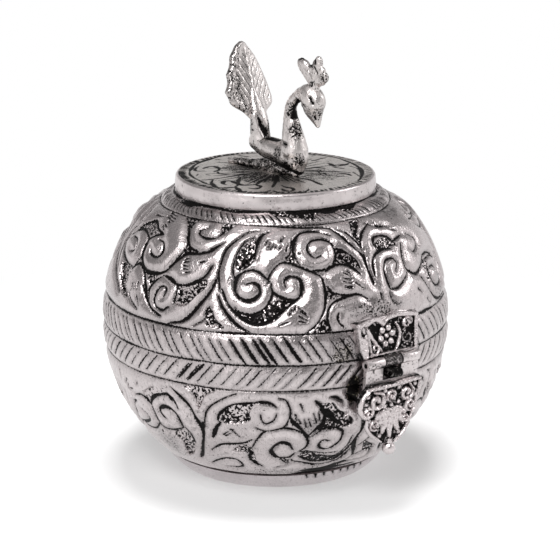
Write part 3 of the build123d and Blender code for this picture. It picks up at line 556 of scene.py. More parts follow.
FULL_TURN = 6.283  # radians
WAVES = 7


def ripple(across, along, wavelength, seed):
    """Uneven beaten surface: the mean of seven waves of nearly one length, each its own way."""
    maker = np.random.default_rng(seed)
    ways = maker.uniform(0, FULL_TURN, WAVES)
    stretches = maker.uniform(0.7, 1.4, WAVES)
    phases = maker.uniform(0, FULL_TURN, WAVES)
    total = 0
    for way, stretch, phase in zip(ways, stretches, phases):
        total = total + np.sin(
            (np.cos(way) * across + np.sin(way) * along) * FULL_TURN * stretch / wavelength + phase
        )
    return total / WAVES


# ---- the shells' sheet and its section ----
class Sheet:
    """A sheet of metal under the chaser's tools: a grid of azimuths by rows of a given run and radius.

    gap is each point's distance from the edge of the nearest cut, and sunk how deep it lies inside the
    punched ground, both in millimetres; crowd is how closely cuts surround it, worn how far the black
    has been rubbed away, the tarnish field how dark and yellow it has turned, by tarnish and by shade
    painted beside the fittings, and press how hard each row's cuts were struck."""

    MARGIN = 5.0  # a cut acts on points nearer than this
    FLANK = 1.25  # how far a leaf's flank reaches down to a cut

    def __init__(self, azimuth, run, radius):
        self.azimuth, self.run, self.radius = azimuth, run, np.maximum(radius, 0.5)
        shape = (len(run), len(azimuth))
        self.gap = np.full(shape, self.MARGIN)
        self.sunk = np.full(shape, -self.MARGIN)
        self.crowd, self.worn, self.tarnish = np.zeros(shape), np.zeros(shape), np.zeros(shape)
        self.press = np.ones(len(run))[:, None]

    def near(self, curve):
        """The points near a curve, once, or nothing where it runs off the sheet: their rows and columns,
        and then the curve about its middle azimuth, the points' places across from there and along, and
        the millimetres of a degree on each row."""
        low, high = curve.min(0), curve.max(0)
        middle, reach = (low[0] + high[0]) / 2, np.ptp(curve[:, 0]) / 2
        rows = np.flatnonzero((self.run > low[1] - self.MARGIN) & (self.run < high[1] + self.MARGIN))
        if len(rows):
            away = azimuth_from(middle, self.azimuth)
            spread = reach + self.MARGIN / self.radius[rows].min() / DEGREE
            columns = np.flatnonzero(abs(away) < spread)
            scale = self.radius[rows][:, None] * DEGREE
            across, along = away[columns][None] * scale, self.run[rows][:, None]
            yield np.ix_(rows, columns), (curve - (middle, 0), across, along, scale)

    def cut(self, half_width, points, turn=0.0):
        """One chased line, thinning towards its two ends and uneven as the tool was struck along it."""
        curve = through(points) + (turn, 0)
        for place, strip in self.near(curve):
            distance, where = near_line(*strip)
            width = half_width * (0.30 + 0.70 * np.clip(5 * where * (1 - where), 0, 1) ** 0.7)
            width = width * (1 + 0.30 * np.sin(where * len(curve) * 0.45 + points[0][0] + points[-1][1]))
            edge = distance - width
            self.gap[place] = np.minimum(self.gap[place], edge)
            self.crowd[place] += fall_off(edge, self.FLANK) * min(1, half_width / MEDIUM)

    def tick(self, start, end, turn=0.0, broad=1.0):
        """A short graver cut: broad where it starts and pointed where it ends."""
        for place, strip in self.near(np.array([start, end], float) + (turn, 0)):
            distance, where = near_line(*strip)
            self.gap[place] = np.minimum(self.gap[place], distance - 0.22 * broad * (1 - 0.7 * where))

    def ground(self, points, turn=0.0):
        """A patch beaten down with a matting punch."""
        for place, strip in self.near(through([*points, points[0]], 4)[:-1] + (turn, 0)):
            outline, *places = strip
            distance, _ = near_line(np.vstack([outline, outline[:1]]), *places)
            depth = np.where(inside(*strip), distance, -distance)
            self.sunk[place] = np.maximum(self.sunk[place], depth)

    def hatch(self, low, high, slant, pitch, half_width, seed, missing=0.0, heavy=None):
        """A ring of slanted strokes between two runs, each its own width and length. slant is how many
        degrees a stroke moves on from its high end to its low end, pitch the degrees between strokes,
        missing the share left out, and heavy an azimuth, a half angle and how much broader the strokes
        are there."""
        maker = np.random.default_rng(seed)
        count = round(360 / pitch)
        share = (high - self.run[:, None]) / (high - low)
        turns = (self.azimuth[None] - slant * share) / 360 * count
        nearest = np.round(turns).astype(int) % count
        press = 1 + 0.45 * ripple(np.arange(count) * pitch, 0.0, 60.0, seed + 1) * 2
        if heavy:
            centre, half_angle, broader = heavy
            away = abs(azimuth_from(centre, azimuths(count)))
            press = press + broader * smooth(half_angle + 6, half_angle - 6, away)
        shift = maker.normal(0, 0.10, count)
        widths = half_width * press * maker.uniform(0.45, 1.6, count)
        starts, ends = maker.uniform(-0.02, 0.16, count), maker.uniform(0.84, 1.0, count)
        starts = np.where(maker.uniform(0, 1, count) < missing, 9.0, starts)
        radius = self.radius[:, None]
        lean = np.cos(np.arctan(slant * DEGREE * radius / (high - low)))
        away = abs((turns - shift[nearest] + 0.5) % 1 - 0.5) * 360 / count * DEGREE * radius * lean
        past = np.maximum(np.maximum(starts[nearest] - share, share - ends[nearest]), 0) * (high - low)
        taper = 0.35 + 0.65 * np.clip(6 * share * (1 - share), 0, 1)
        edge = np.hypot(away, past) - widths[nearest] * taper
        self.gap[:] = np.minimum(self.gap, edge)
        self.crowd += 0.12 * fall_off(edge, 0.6)

    def ring(self, run, half_width, sway, seed):
        """A line right round, swaying a little up and down and changing its width."""
        wave = ripple(self.azimuth[None], 0.0, 40.0, seed)
        width = half_width * (1 + 1.2 * ripple(self.azimuth[None], 0.0, 17.0, seed + 1))
        edge = abs(self.run[:, None] - run - sway * wave) - width
        self.gap[:] = np.minimum(self.gap, edge)
        self.crowd += fall_off(edge, self.FLANK)

    def wear(self, azimuth, half_angle, amount):
        """Rubs the black away round an azimuth, fading out at both sides."""
        away = abs(azimuth_from(azimuth, self.azimuth))
        self.worn = np.maximum(self.worn, amount * smooth(half_angle + 12, half_angle - 12, away)[None])

    def stain(self, azimuth, run, half_width, half_height, amount):
        """A cloud of tarnish and of painted shade round a place, as wide and high as given in millimetres.
        """
        away = azimuth_from(azimuth, self.azimuth)[None] * DEGREE * self.radius[:, None]
        share = np.hypot(away / half_width, (self.run[:, None] - run) / half_height)
        self.tarnish = np.maximum(self.tarnish, amount * smooth(1.0, 0.3, share))

    def flatten(self, azimuth, half_angle, low, high):
        """0 where something is fastened to the sheet and it is left smooth, rising to 1 round it."""
        away = abs(azimuth_from(azimuth, self.azimuth))[None]
        run = self.run[:, None]
        side = np.maximum((away - half_angle) * DEGREE * self.radius[:, None], 0)
        return smooth(0.0, 2.6, np.hypot(side, np.maximum(np.maximum(low - run, run - high), 0)))

    def relief(self, sizes, top):
        """Height of each point: leaves swell away from the cuts, cuts are narrow channels, and the ground
        is flat, low and stippled. top is the highest that a leaf stands above the sheet."""
        across = self.azimuth[None] * DEGREE * self.radius[:, None]
        along = self.run[:, None]
        crown = sizes.crown / MM
        leaf = top - crown * (1 - np.exp(-1.5 * self.crowd)) + 0.07 * ripple(across, along, 9.0, 5)
        leaf = leaf - self.press * sizes.cut_depth / MM * fall_off(self.gap + 0.1, 0.30)
        stipple = 0.16 * ripple(across, along, 1.3, 8) * 2
        bed = top - crown - 0.6 * sizes.ground_depth / MM + stipple
        share = smooth(-0.25, 0.35, self.sunk)
        return leaf * (1 - share) + bed * share

    def fields(self, before=0, after=0):
        """What the metal's finish reads on each point, with rows of plain metal before and after."""
        plain = {"gap": self.MARGIN, "sunk": -self.MARGIN, "worn": 0.0, "tarnish": 0.0}
        rows = ((before, after), (0, 0))
        return {name: np.pad(getattr(self, name), rows, constant_values=plain[name]) for name in plain}


def section(run, rise=0.0):
    """Radius and height of the spun wall at a run, on the surface `rise` off the outer one: a circle about
    the globe's centre, then the shoulder's tighter arc, then a straight cone."""
    globe = run / RADIUS
    arc = SHOULDER_START + (run - GLOBE_RUN) / SHOULDER_RADIUS
    hub = RADIUS - SHOULDER_RADIUS
    angle = np.minimum(np.where(run < GLOBE_RUN, globe, arc), SHOULDER_END)
    reach = np.where(run < GLOBE_RUN, RADIUS, SHOULDER_RADIUS) + rise
    offset = np.where(run < GLOBE_RUN, 0.0, hub)
    straight = np.maximum(run - SHOULDER_RUN, 0)
    radius = offset * np.cos(SHOULDER_START) + reach * np.cos(angle) - straight * np.sin(SHOULDER_END)
    height = offset * np.sin(SHOULDER_START) + reach * np.sin(angle) + straight * np.cos(SHOULDER_END)
    return radius, SEAM + height


def round_axis(azimuth, radius, height):
    """Points at azimuths in degrees from the clasp towards +X, at a radius and a height."""
    turn, radius, height = np.broadcast_arrays(azimuth * DEGREE, radius, height)
    return np.stack([radius * np.sin(turn), -radius * np.cos(turn), height], -1)


# single broad cuts, in the pattern's own terms
LID_SHOULDER_CUTS = [
    (0.8, [(-31, 50.6), (-24, 49.8), (-17, 50.4), (-9, 49.4), (0, 50.2), (6, 49.5), (13, 50.4)]),
    (0.7, [(-102, 48.8), (-96, 49.8), (-90, 49.6), (-84, 50.5), (-74, 50.3)]),
    (0.5, [(-66, 50.4), (-60, 49.8), (-54, 50.4)]),
]
BOWL_BORDER_CUTS = [
    (0.45, [(-60.5, -0.8), (-63.5, -3.6), (-66.5, -6.6)]),
    (0.35, [(-64.8, -1.0), (-67.4, -3.6), (-70, -6.4)]),
]
BOWL_BROAD_CUTS = [
    (1.0, [(-22.6, -15.2), (-19.8, -17.0), (-17.0, -19.8), (-14.5, -21.6)]),
    (1.0, [(-27, -46.9), (-20, -46.5), (-13, -46.3), (-6, -45.6), (3, -45.4)]),
    (1.0, [(-25, -45.2), (-19, -44.8), (-13, -44.3), (-6, -42.8), (0, -42.6)]),
]
# clouds of tarnish and of painted shade, as the sheet's stain method takes them: the narrow cloud beside
# the hasp on the bowl is painted shadow of the hasp with yellow tarnish in it, the clouds beside the clasp
# plate on the lid and over the foot are painted shade, and the rest are tarnish
LID_STAINS_AND_SHADE = [(-2, 15, 17, 5, 1.0), (-16, 3, 7, 8, 1.2), (28, 44, 9, 7, 0.9), (34, 14, 10, 8, 0.6),
              (-60, 47, 30, 4, 0.5)]
BOWL_STAINS_AND_SHADE = [(-12, -9, 3.6, 8, 2.0), (-22, -21, 9, 7, 0.9), (-30, -44, 25, 4, 0.8),
               (-84, -33, 8, 12, 0.7), (-66, -22, 40, 30, 0.35)]


def lid_sheet(azimuth, run):
    """The lid's whole pattern, on the given rows."""
    sheet = Sheet(azimuth, run, section(run)[0])
    for turn in (0, 120, 180, 240):
        add_pattern(sheet, LID_SCROLLS, LID_GROUNDS, LID_TICKS, turn)
    add_pattern(sheet, LID_RIGHT_SCROLLS, LID_RIGHT_GROUNDS, LID_RIGHT_TICKS)
    add_pattern(sheet, LID_LEFT_SCROLLS, LID_LEFT_GROUNDS, LID_LEFT_TICKS)
    for turn in (0, 160):
        add_pattern(sheet, grounds=CAP_GROUNDS, turn=turn)
    sheet.hatch(0.3, 8.5, slant=5.6, pitch=3.5, half_width=0.14, seed=11, heavy=(-44, 13, 1.7))
    sheet.ring(0.0, 0.22, sway=0.0, seed=16)
    sheet.ring(LID_BORDER, 0.26, sway=0.35, seed=12)
    sheet.ring(LID_RING, 0.16, sway=0.35, seed=13)
    sheet.hatch(45.6, 49.2, slant=4.0, pitch=3.2, half_width=0.13, seed=14, missing=0.15)
    sheet.ring(50.3, 0.35, sway=0.6, seed=17)
    add_pattern(sheet, LID_SHOULDER_CUTS)
    for stain in LID_STAINS_AND_SHADE:
        sheet.stain(*stain)
    sheet.wear(-112, 34, 0.35)
    sheet.wear(60, 45, 0.5)
    sheet.press = 0.30 + 0.70 * (smooth(8.5, 10.5, run) * smooth(46.5, 44.5, run))[:, None]
    sheet.press = sheet.press * (1 - 0.7 * smooth(45.0, 46.0, run))[:, None]
    return sheet


def bowl_sheet(azimuth, run):
    """The bowl's whole pattern, on the given rows."""
    sheet = Sheet(azimuth, run, section(run)[0])
    for turn in (0, 60, 120, 180, 240):
        add_pattern(sheet, BOWL_SCROLLS, BOWL_GROUNDS, BOWL_TICKS, turn, broad=1.25)
    add_pattern(sheet, BOWL_LEFT_SCROLLS, BOWL_LEFT_GROUNDS, BOWL_LEFT_TICKS, broad=1.25)
    sheet.hatch(-7.3, -0.3, slant=-6.4, pitch=4.1, half_width=0.16, seed=21)
    add_pattern(sheet, BOWL_BORDER_CUTS)
    sheet.ring(0.0, 0.22, sway=0.0, seed=25)
    sheet.ring(BOWL_BORDER, 0.13, sway=0.3, seed=22)
    sheet.ring(foot_joint() + 0.25, 0.32, sway=0.0, seed=24)
    add_pattern(sheet, BOWL_BROAD_CUTS)
    for stain in BOWL_STAINS_AND_SHADE:
        sheet.stain(*stain)
    sheet.wear(-90, 42, 0.6)
    sheet.wear(60, 45, 0.6)
    sheet.press = 0.35 + 0.65 * (smooth(-7.5, -9.5, run) * smooth(-46.0, -44.0, run))[:, None]
    return sheet


def foot_joint():
    """Run at which the foot meets the bowl."""
    return -RADIUS * np.arcsin((SEAM - FOOT_TOP) / RADIUS)


def add_pattern(sheet, scrolls=(), grounds=(), ticks=(), turn=0, broad=1.0):
    """Puts one repeat of a pattern on a sheet, turned so many degrees and its cuts so much broader."""
    for half_width, points in scrolls:
        sheet.cut(broad * half_width, points, turn)
    for points in grounds:
        sheet.ground(points, turn)
    for start, end in ticks:
        sheet.tick(start, end, turn)


# ---- shader maths ----
class Value:
    """A number on a shader socket. +, - and * on it add Math nodes, with numbers on either side."""

    def __init__(self, shader, socket):
        self.shader, self.socket = shader, socket

    def maths(self, operation, first, second):
        """A Math node of two numbers."""
        return self.shader.add("ShaderNodeMath", {"operation": operation}, {0: first, 1: second})

    def __add__(self, other):
        return self.maths("ADD", self, other)

    def __sub__(self, other):
        return self.maths("SUBTRACT", self, other)

    def __rsub__(self, other):
        return self.maths("SUBTRACT", other, self)

    def __mul__(self, other):
        return self.maths("MULTIPLY", self, other)

    __radd__, __rmul__ = __add__, __mul__

    def between(self, low, high, start=0.0, end=1.0):
        """An S-curve from start, where the value is low, to end, where it is high."""
        sockets = {0: self, 1: low, 2: high, 3: start, 4: end}
        return self.shader.add("ShaderNodeMapRange", {"interpolation_type": "SMOOTHSTEP"}, sockets)


class Shader:
    """One material's or world's nodes. add() is the one way in for a node."""

    def __init__(self, tree):
        self.tree = tree
        tree.nodes.clear()

    def add(self, kind, settings=None, inputs=None, output=0):
        """Adds a node: its settings, then its sockets' values or links. Returns one of its outputs."""
        node = self.tree.nodes.new(kind)
        for name, value in (settings or {}).items():
            setattr(node, name, value)
        for name, value in (inputs or {}).items():
            if isinstance(value, Value):
                self.tree.links.new(value.socket, node.inputs[name])
            else:
                node.inputs[name].default_value = value
        return Value(self, node.outputs[output]) if len(node.outputs) else node

    def mix(self, share, first, second):
        """One colour turning into another as share goes from 0 to 1."""
        first, second = (c if isinstance(c, Value) else (*c, 1.0) for c in (first, second))
        return self.add("ShaderNodeMix", {"data_type": "RGBA"}, {0: share, 6: first, 7: second}, 2)

    def place(self):
        """Where the point is on the object, in metres."""
        return self.add("ShaderNodeTexCoord", output="Object")

    def noise(self, grain, detail=3.0, stretch=None):
        """Cloudy noise from 0 to 1 whose grain is a length in millimetres."""
        where = self.place()
        if stretch:
            where = self.add("ShaderNodeMapping", {}, {"Vector": where, "Scale": stretch})
        sockets = {"Vector": where, "Scale": 1 / (grain * MM), "Detail": detail, "Roughness": 0.6}
        return self.add("ShaderNodeTexNoise", {}, sockets)

    def field(self, name):
        """A field of the piece's own, stored on its points."""
        return self.add("ShaderNodeAttribute", {"attribute_name": name}, output="Fac")

    def ray(self, kind):
        """1 for rays of a kind and 0 for the others."""
        return self.add("ShaderNodeLightPath", output=f"Is {kind} Ray")

    def towards(self, way, direction):
        """How nearly a way points in a direction: 1 straight along it and less beside it."""
        settings = {"operation": "DOT_PRODUCT"}
        return self.add("ShaderNodeVectorMath", settings, {0: way, 1: direction}, "Value")


def begin(name):
    """A new material's shader."""
    material = bpy.data.materials.new(name)
    material.use_nodes = True
    return Shader(material.node_tree)


def dimmed(colour, share):
    """A colour at a share of its brightness."""
    return [share * part for part in colour]


def metal(recipe):
    """Makes a recipe's material once for each name, and hands out the same one after that. The recipe
    works out a colour, a roughness and a height, which go into a Principled metal, and how deep the
    height's bumps are in millimetres."""

    def made(name, *settings):
        if name not in bpy.data.materials:
            shader = begin(name)
            colour, roughness, height, depth = recipe(shader, *settings)
            bumps = {"Strength": 1.0, "Distance": depth * MM, "Height": height}
            normal = shader.add("ShaderNodeBump", {}, bumps)
            sockets = {"Base Color": colour, "Metallic": 1.0, "Roughness": roughness, "Normal": normal}
            principled = shader.add("ShaderNodeBsdfPrincipled", {}, sockets)
            shader.add("ShaderNodeOutputMaterial", {}, {"Surface": principled})
        return bpy.data.materials[name]

    return made


@metal
def chased_metal(shader, colours, bright, halo=1.3, dull=0.0, grime=0.0):
    """White metal blackened in its cuts and grounds and rubbed bright above them. halo is how far the
    darkening round a cut reaches, in millimetres, dull how much rougher the metal is, and grime how many
    dark specks lie in the open."""
    oxide = colours.oxide
    fine, middling, broad = shader.noise(0.5), shader.noise(1.8), shader.noise(11.0, 2.0)
    brushed = shader.noise(0.5, 2.0, (1.0, 1.0, 0.12))
    punch = shader.noise(0.85, 1.0)
    gap, sunk, worn = shader.field("gap"), shader.field("sunk"), shader.field("worn")
    # the tarnish field adds black pits, darkens the metal towards oxide and at its highest turns it yellow:
    # real tarnish, and painted shade where its clouds lie beside fittings, round the perch and under the
    # peacock
    tarnish = shader.field("tarnish")
    speck = 0.7 * fine + 0.3 * middling + 0.13 * tarnish + grime
    pits = speck.between(0.64, 0.68)
    ink = 1 - (gap + 1.2 * fine + 0.3 * broad - 0.79).between(-0.02, 0.08)
    shade = (1 - (gap + 1.5 * middling - 0.75).between(0.0, halo)) * (1 - 0.75 * worn)
    ground = (sunk + 0.9 * fine - 0.45).between(-0.10, 0.10)
    spark = (punch + 0.35 * broad + 0.16 * worn).between(0.715, 0.75)
    smudge = (middling + broad).between(1.08, 1.30)
    dusky = shader.mix(0.62, bright, oxide)
    body = shader.mix((broad + 0.4 * middling).between(0.45, 0.95), dimmed(bright, 0.82), bright)
    body = shader.mix(0.60 * shade + 0.35 * smudge + 0.42 * brushed.between(0.54, 0.70), body, dusky)
    body = shader.mix(0.4 * (tarnish + middling).between(0.7, 1.3), body, dusky)
    body = shader.mix(0.8 * (tarnish + middling).between(1.5, 2.1), body, colours.brass)
    body = shader.mix(ground, body, shader.mix(spark, oxide, dimmed(bright, 0.9)))
    black = ink + pits * (1 - ink)
    hue = shader.mix(black, body, oxide)
    rough = 0.11 + dull + 0.18 * brushed + 0.10 * fine + 0.30 * black + 0.08 * worn
    height = 0.8 * middling + 0.32 * fine + 0.45 * brushed + 0.8 * ground * spark
    return hue, rough, height, 0.20


@metal
def plain_metal(shader, bright, oxide, roughness, pits, grain):
    """Polished metal with smudges of oxide and uneven shine. pits is how many black pits it has, and
    grain their size in millimetres."""
    fine, middling, broad = shader.noise(grain), shader.noise(2.6), shader.noise(12.0, 2.0)
    pit = (fine + 0.5 * middling).between(1.02 - pits * 0.5, 1.16 - pits * 0.5)
    dusky = shader.mix(0.5, bright, oxide)
    body = shader.mix((broad + 0.5 * middling).between(0.5, 1.0), dimmed(bright, 0.82), bright)
    body = shader.mix(0.35 * middling.between(0.52, 0.7), body, dusky)
    hue = shader.mix(pit, body, oxide)
    return hue, roughness + 0.2 * middling + 0.25 * pit, 0.6 * middling + 0.5 * fine - 0.6 * pit, 0.12


@metal
def carved_metal(shader, bright, oxide):
    """Glossy cast relief: its low places hold black, its ridges are rubbed bright. `rise` is the relief."""
    fine, middling = shader.noise(0.5), shader.noise(1.6)
    rise = shader.field("rise")
    spark = shader.noise(0.9, 1.0).between(0.60, 0.66)
    black = 1 - (rise + 0.7 * fine - 0.35).between(0.14, 0.38)
    dusky = shader.mix(0.6, bright, oxide)
    body = shader.mix((rise + 0.6 * middling).between(0.35, 0.95), dusky, bright)
    hue = shader.mix(black, body, shader.mix(spark, oxide, dimmed(bright, 0.7)))
    height = 0.9 * middling + 0.6 * fine + 0.6 * black * spark
    return hue, 0.2 + 0.14 * middling + 0.25 * black, height, 0.20


# ---- shells ----
COLUMNS = 1240
AROUND = azimuths(COLUMNS)
ROW_PITCH = 0.27

# where each shell stays smooth: azimuth, half angle, lowest and highest run
LID_FLATS = [(0, 13.5, -1, 13), (180, 11, -1, 11)]
BOWL_FLATS = [(0, 4, -9, 1), (180, 11, -11, 1)]

# how high a leaf may stand in the narrow bands, in the scrolls and on the bowl's skirt
LOW_RELIEF = 0.28
FULL_RELIEF = 0.42
SKIRT_RELIEF = 0.30


def rows_between(low, high):
    """Runs of a band's rows, its two edges included."""
    return np.linspace(low, high, round(abs(high - low) / ROW_PITCH) + 1)


def shell_band(sheet, low, high, top, sizes, flats):
    """A closed band of sheet between two runs: its outer face carries the sheet's relief, its inner face
    lies one wall further in."""
    rise = sheet.relief(sizes, top)
    for flat in flats:
        share = sheet.flatten(*flat)
        rise = rise * share + np.minimum(rise, -0.05) * (1 - share)
    outer = round_axis(AROUND[None], *section(sheet.run[:, None], rise))
    back = np.linspace(high, low, 6)[:, None]
    inner = round_axis(AROUND[None], *section(back, -WALL))
    return skin(np.vstack([outer, inner]), sheet.fields(after=len(back)), loop=True)


class PaanBoxOperator(bpy.types.Operator):
    """What the operators share: the settings, the metals and how a shell is built in bands."""

    bl_options = {"REGISTER", "UNDO"}

    @property
    def sizes(self):
        """The sizes set in the sidebar."""
        return bpy.context.scene.paan_box_sizes

    @property
    def colours(self):
        """The colours set in the sidebar."""
        return bpy.context.scene.paan_box_colours

    def chased(self, name, bright, *finish):
        """A chased or worn white metal of the given colour and finish."""
        return chased_metal(name, self.colours, bright, *finish)

    def plain(self, name, bright, *finish):
        """A polished metal of the given colour and finish."""
        return plain_metal(name, bright, self.colours.oxide, *finish)

    def carved_metal(self):
        """The finish of the clasp's carved castings."""
        return carved_metal("carved_silver", self.colours.bright, self.colours.oxide)

    def shell_piece(self, name, shape, body, node):
        """Hands one band of a shell to the frame."""
        metal = self.chased("chased_silver", self.colours.bright)
        make_piece(name, shape, metal, body, [node])

    def shell(self, zones, pattern, body, node, flats):
        """Builds a shell's bands, each a name, its two edges as runs and how high its leaves stand."""
        for name, low, high, top in zones:
            sheet = pattern(AROUND, rows_between(low, high))
            self.shell_piece(name, shell_band(sheet, low, high, top, self.sizes, flats), body, node)


class PAANBOX_OT_lid(PaanBoxOperator):
    """Build the lid's shell in four bands: the herringbone border, two of scrolls and the shoulder"""

    bl_idname = "paan_box.lid"
    bl_label = "Lid"

    def execute(self, context):
        zones = [
            ("lid_border", SEAM_GAP, LID_BORDER, LOW_RELIEF),
            ("lid_scrolls", LID_BORDER, LID_MIDDLE, FULL_RELIEF),
            ("lid_upper_scrolls", LID_MIDDLE, LID_RING, FULL_RELIEF),
            ("lid_shoulder", LID_RING, lid_mouth_run(), LOW_RELIEF),
        ]
        self.shell(zones, lid_sheet, "lid", "lid_dome", LID_FLATS)
        return {"FINISHED"}


def lid_mouth_run():
    """Run at which the cone reaches the mouth under the cap."""
    end_radius, _ = section(np.array([SHOULDER_RUN]))
    return SHOULDER_RUN + (end_radius[0] - MOUTH_RADIUS) / np.sin(SHOULDER_END)


class PAANBOX_OT_bowl(PaanBoxOperator):
    """Build the bowl's shell: the herringbone border, two bands of scrolls and the base"""

    bl_idname = "paan_box.bowl"
    bl_label = "Bowl"

    def execute(self, context):
        zones = [
            ("bowl_border", BOWL_BORDER, 0.0, LOW_RELIEF),
            ("bowl_scrolls", BOWL_MIDDLE, BOWL_BORDER, FULL_RELIEF),
            ("bowl_lower_scrolls", BOWL_SKIRT, BOWL_MIDDLE, FULL_RELIEF),
        ]
        self.shell(zones, bowl_sheet, "bowl", "bowl_shell", BOWL_FLATS)
        self.shell_piece("bowl_base", self.base(), "bowl", "bowl_shell")
        return {"FINISHED"}

    def base(self):
        """The bowl's underside: flat out to the foot, up the skirt with its relief, and back over the
        inside to the middle of the floor."""
        joint = foot_joint()
        edge, floor_edge = section(np.array([joint]))[0][0], section(np.array([joint + WALL]), -WALL)[0][0]
        sheet = bowl_sheet(AROUND, rows_between(joint, BOWL_SKIRT))
        skirt = section(sheet.run[:, None], sheet.relief(self.sizes, SKIRT_RELIEF))
        under = np.linspace(2.0, edge - WALL / 2, 12)[:, None]
        lining = np.linspace(BOWL_SKIRT, joint + WALL / 2, 5)[:, None]
        floor = np.linspace(floor_edge, 2.0, 12)[:, None]
        walls = [(under, FOOT_TOP), skirt, section(lining, -WALL), (floor, FOOT_TOP + WALL)]
        points = np.vstack([round_axis(AROUND[None], radius, height) for radius, height in walls])
        return skin(points, sheet.fields(len(under), len(lining) + len(floor)))


FOOT_BOTTOM_RADIUS = 31.2
FOOT_BULGE = 0.7
FOOT_WALL = 1.6


class PAANBOX_OT_foot(PaanBoxOperator):
    """Build the foot's band, bulging a little and dented by use"""

    bl_idname = "paan_box.foot"
    bl_label = "Foot"

    def execute(self, context):
        azimuth = azimuths(900)
        share = np.linspace(0, 1, 26)[:, None]
        sheet = Sheet(azimuth, share[:, 0] * FOOT_TOP, np.full(len(share), FOOT_BOTTOM_RADIUS))
        for turn in np.arange(-22, 12, 4.8):
            low_end = FOOT_TOP - 1.2 - 0.3 * np.sin(turn)
            sheet.tick((turn, FOOT_TOP + 0.3), (turn + 0.8, low_end), broad=1.6)
        dents = 0.12 * ripple(azimuth[None] * 0.6, share * 5, 9.0, 31)
        outer = round_axis(azimuth[None], self.profile(share) + dents, FOOT_TOP * share)
        back = share[::-1]
        inner = round_axis(azimuth[None], self.profile(back) - FOOT_WALL, FOOT_TOP * back)
        shape = skin(np.vstack([outer, inner]), sheet.fields(after=len(back)), loop=True)
        satin = self.chased("foot_silver", self.colours.foot, 0.8, 0.20, -0.04)
        make_piece("foot_band", shape, satin, "bowl", ["foot_ring"])
        return {"FINISHED"}

    def profile(self, share):
        """The band's radius at a share of its height: a straight flare with a parabola's bulge."""
        top_radius = section(np.array([foot_joint()]))[0][0]
        bulge = FOOT_BULGE * 4 * share * (1 - share)
        return FOOT_BOTTOM_RADIUS + (top_radius - FOOT_BOTTOM_RADIUS) * share + bulge


# ---- the lid's top ----
CAP_WALL = 1.1
CAP_EDGE = 0.9
BAND_RADIUS = COLLAR - 0.25
DISC_RADIUS = BAND_RADIUS - CAP_EDGE
ENGRAVING = 0.07


def disc_sheet(azimuth, radius):
    """The flower on the top disc: ribs from the middle, hooks that curl between them, scallops in front and
    an engraved circle inside a milled rim behind. A run here is a radius."""
    sheet = Sheet(azimuth, radius, radius)
    sheet.hatch(
        28.2, 31.6, slant=1.6, pitch=3.4, half_width=0.28, seed=42, missing=0.05, heavy=(-120, 75, 0.9)
    )
    add_pattern(sheet, DISC_LINES, ticks=DISC_TICKS, broad=1.3)
    # the first cloud darkens the disc beside the peacock's foot as painted shade, with tarnish; the others
    # are tarnish
    for stain in (-66, 11, 13, 9, 1.1), (-150, 13, 9, 8, 0.9), (30, 16, 16, 9, 0.7), (-30, 29, 14, 3, 0.8):
        sheet.stain(*stain)
    maker = np.random.default_rng(45)
    for turn in np.arange(0, 360, 9.5) + maker.uniform(-3, 3, 38):
        sheet.cut(FINE, [(turn, 4), (turn + 3, 9), (turn + 4, maker.uniform(12, 24))])
    return sheet


class PAANBOX_OT_top(PaanBoxOperator):
    """Build the cap that closes the lid: engraved disc, rolled edge and plain band"""

    bl_idname = "paan_box.top"
    bl_label = "Top"

    def execute(self, context):
        azimuth = azimuths(780)
        engraved = self.chased("disc_silver", self.colours.disc, 0.35, 0.08, 0.045)
        polished = self.plain("band_silver", self.colours.plain, 0.20, 0.28, 0.8)
        make_piece("top_disc", self.disc(azimuth), engraved, "lid", ["top_cap"])
        make_piece("top_band", self.band(azimuth), polished, "lid", ["top_cap"])
        return {"FINISHED"}

    def disc(self, azimuth):
        """The disc, engraved from above, as thick as the cap's sheet."""
        radii = np.linspace(DISC_RADIUS, STUD_RADIUS, 120)
        sheet = disc_sheet(azimuth, radii)
        rise = -ENGRAVING * fall_off(sheet.gap + 0.1, 0.22)
        rise = rise + 0.07 * ripple(azimuth[None] * 0.4, radii[:, None], 7.0, 43)
        top = round_axis(azimuth[None], radii[:, None], CAP_TOP + rise)
        under = round_axis(azimuth[None], radii[::-30, None], CAP_TOP - CAP_WALL)
        return skin(np.vstack([under, top]), sheet.fields(before=len(under)), loop=True)

    def band(self, azimuth):
        """The band round the disc with its rolled edge, standing on the shoulder's cone."""
        inner, lip = COLLAR - CAP_WALL, DISC_RADIUS - 0.02
        turn = np.linspace(0, np.pi / 2, 7)
        heights = np.linspace(cone_height(COLLAR), CAP_TOP - CAP_EDGE, 12)[:-1]
        belly = BAND_RADIUS + 0.22 * np.sin(np.linspace(0, np.pi, len(heights)))
        roll = BAND_RADIUS - CAP_EDGE * (1 - np.cos(turn)), CAP_TOP - CAP_EDGE * (1 - np.sin(turn))
        low = CAP_TOP - CAP_WALL
        under = [lip, lip, inner, inner], [CAP_TOP - 0.1, low, low, cone_height(inner)]
        radius, height = np.concatenate([under, (belly, heights), roll], 1)[..., None]
        around = azimuth[None] * 0.5
        wave = 0.10 * ripple(around, height, 8.0, 44) + 0.05 * ripple(around, height, 3.0, 46)
        return skin(round_axis(azimuth[None], radius + wave, height), loop=True)


def cone_height(radius):
    """Height of the shoulder's cone at a radius."""
    end_radius, end_height = section(np.array([SHOULDER_RUN]))
    return end_height[0] + (end_radius[0] - radius) / np.tan(SHOULDER_END)


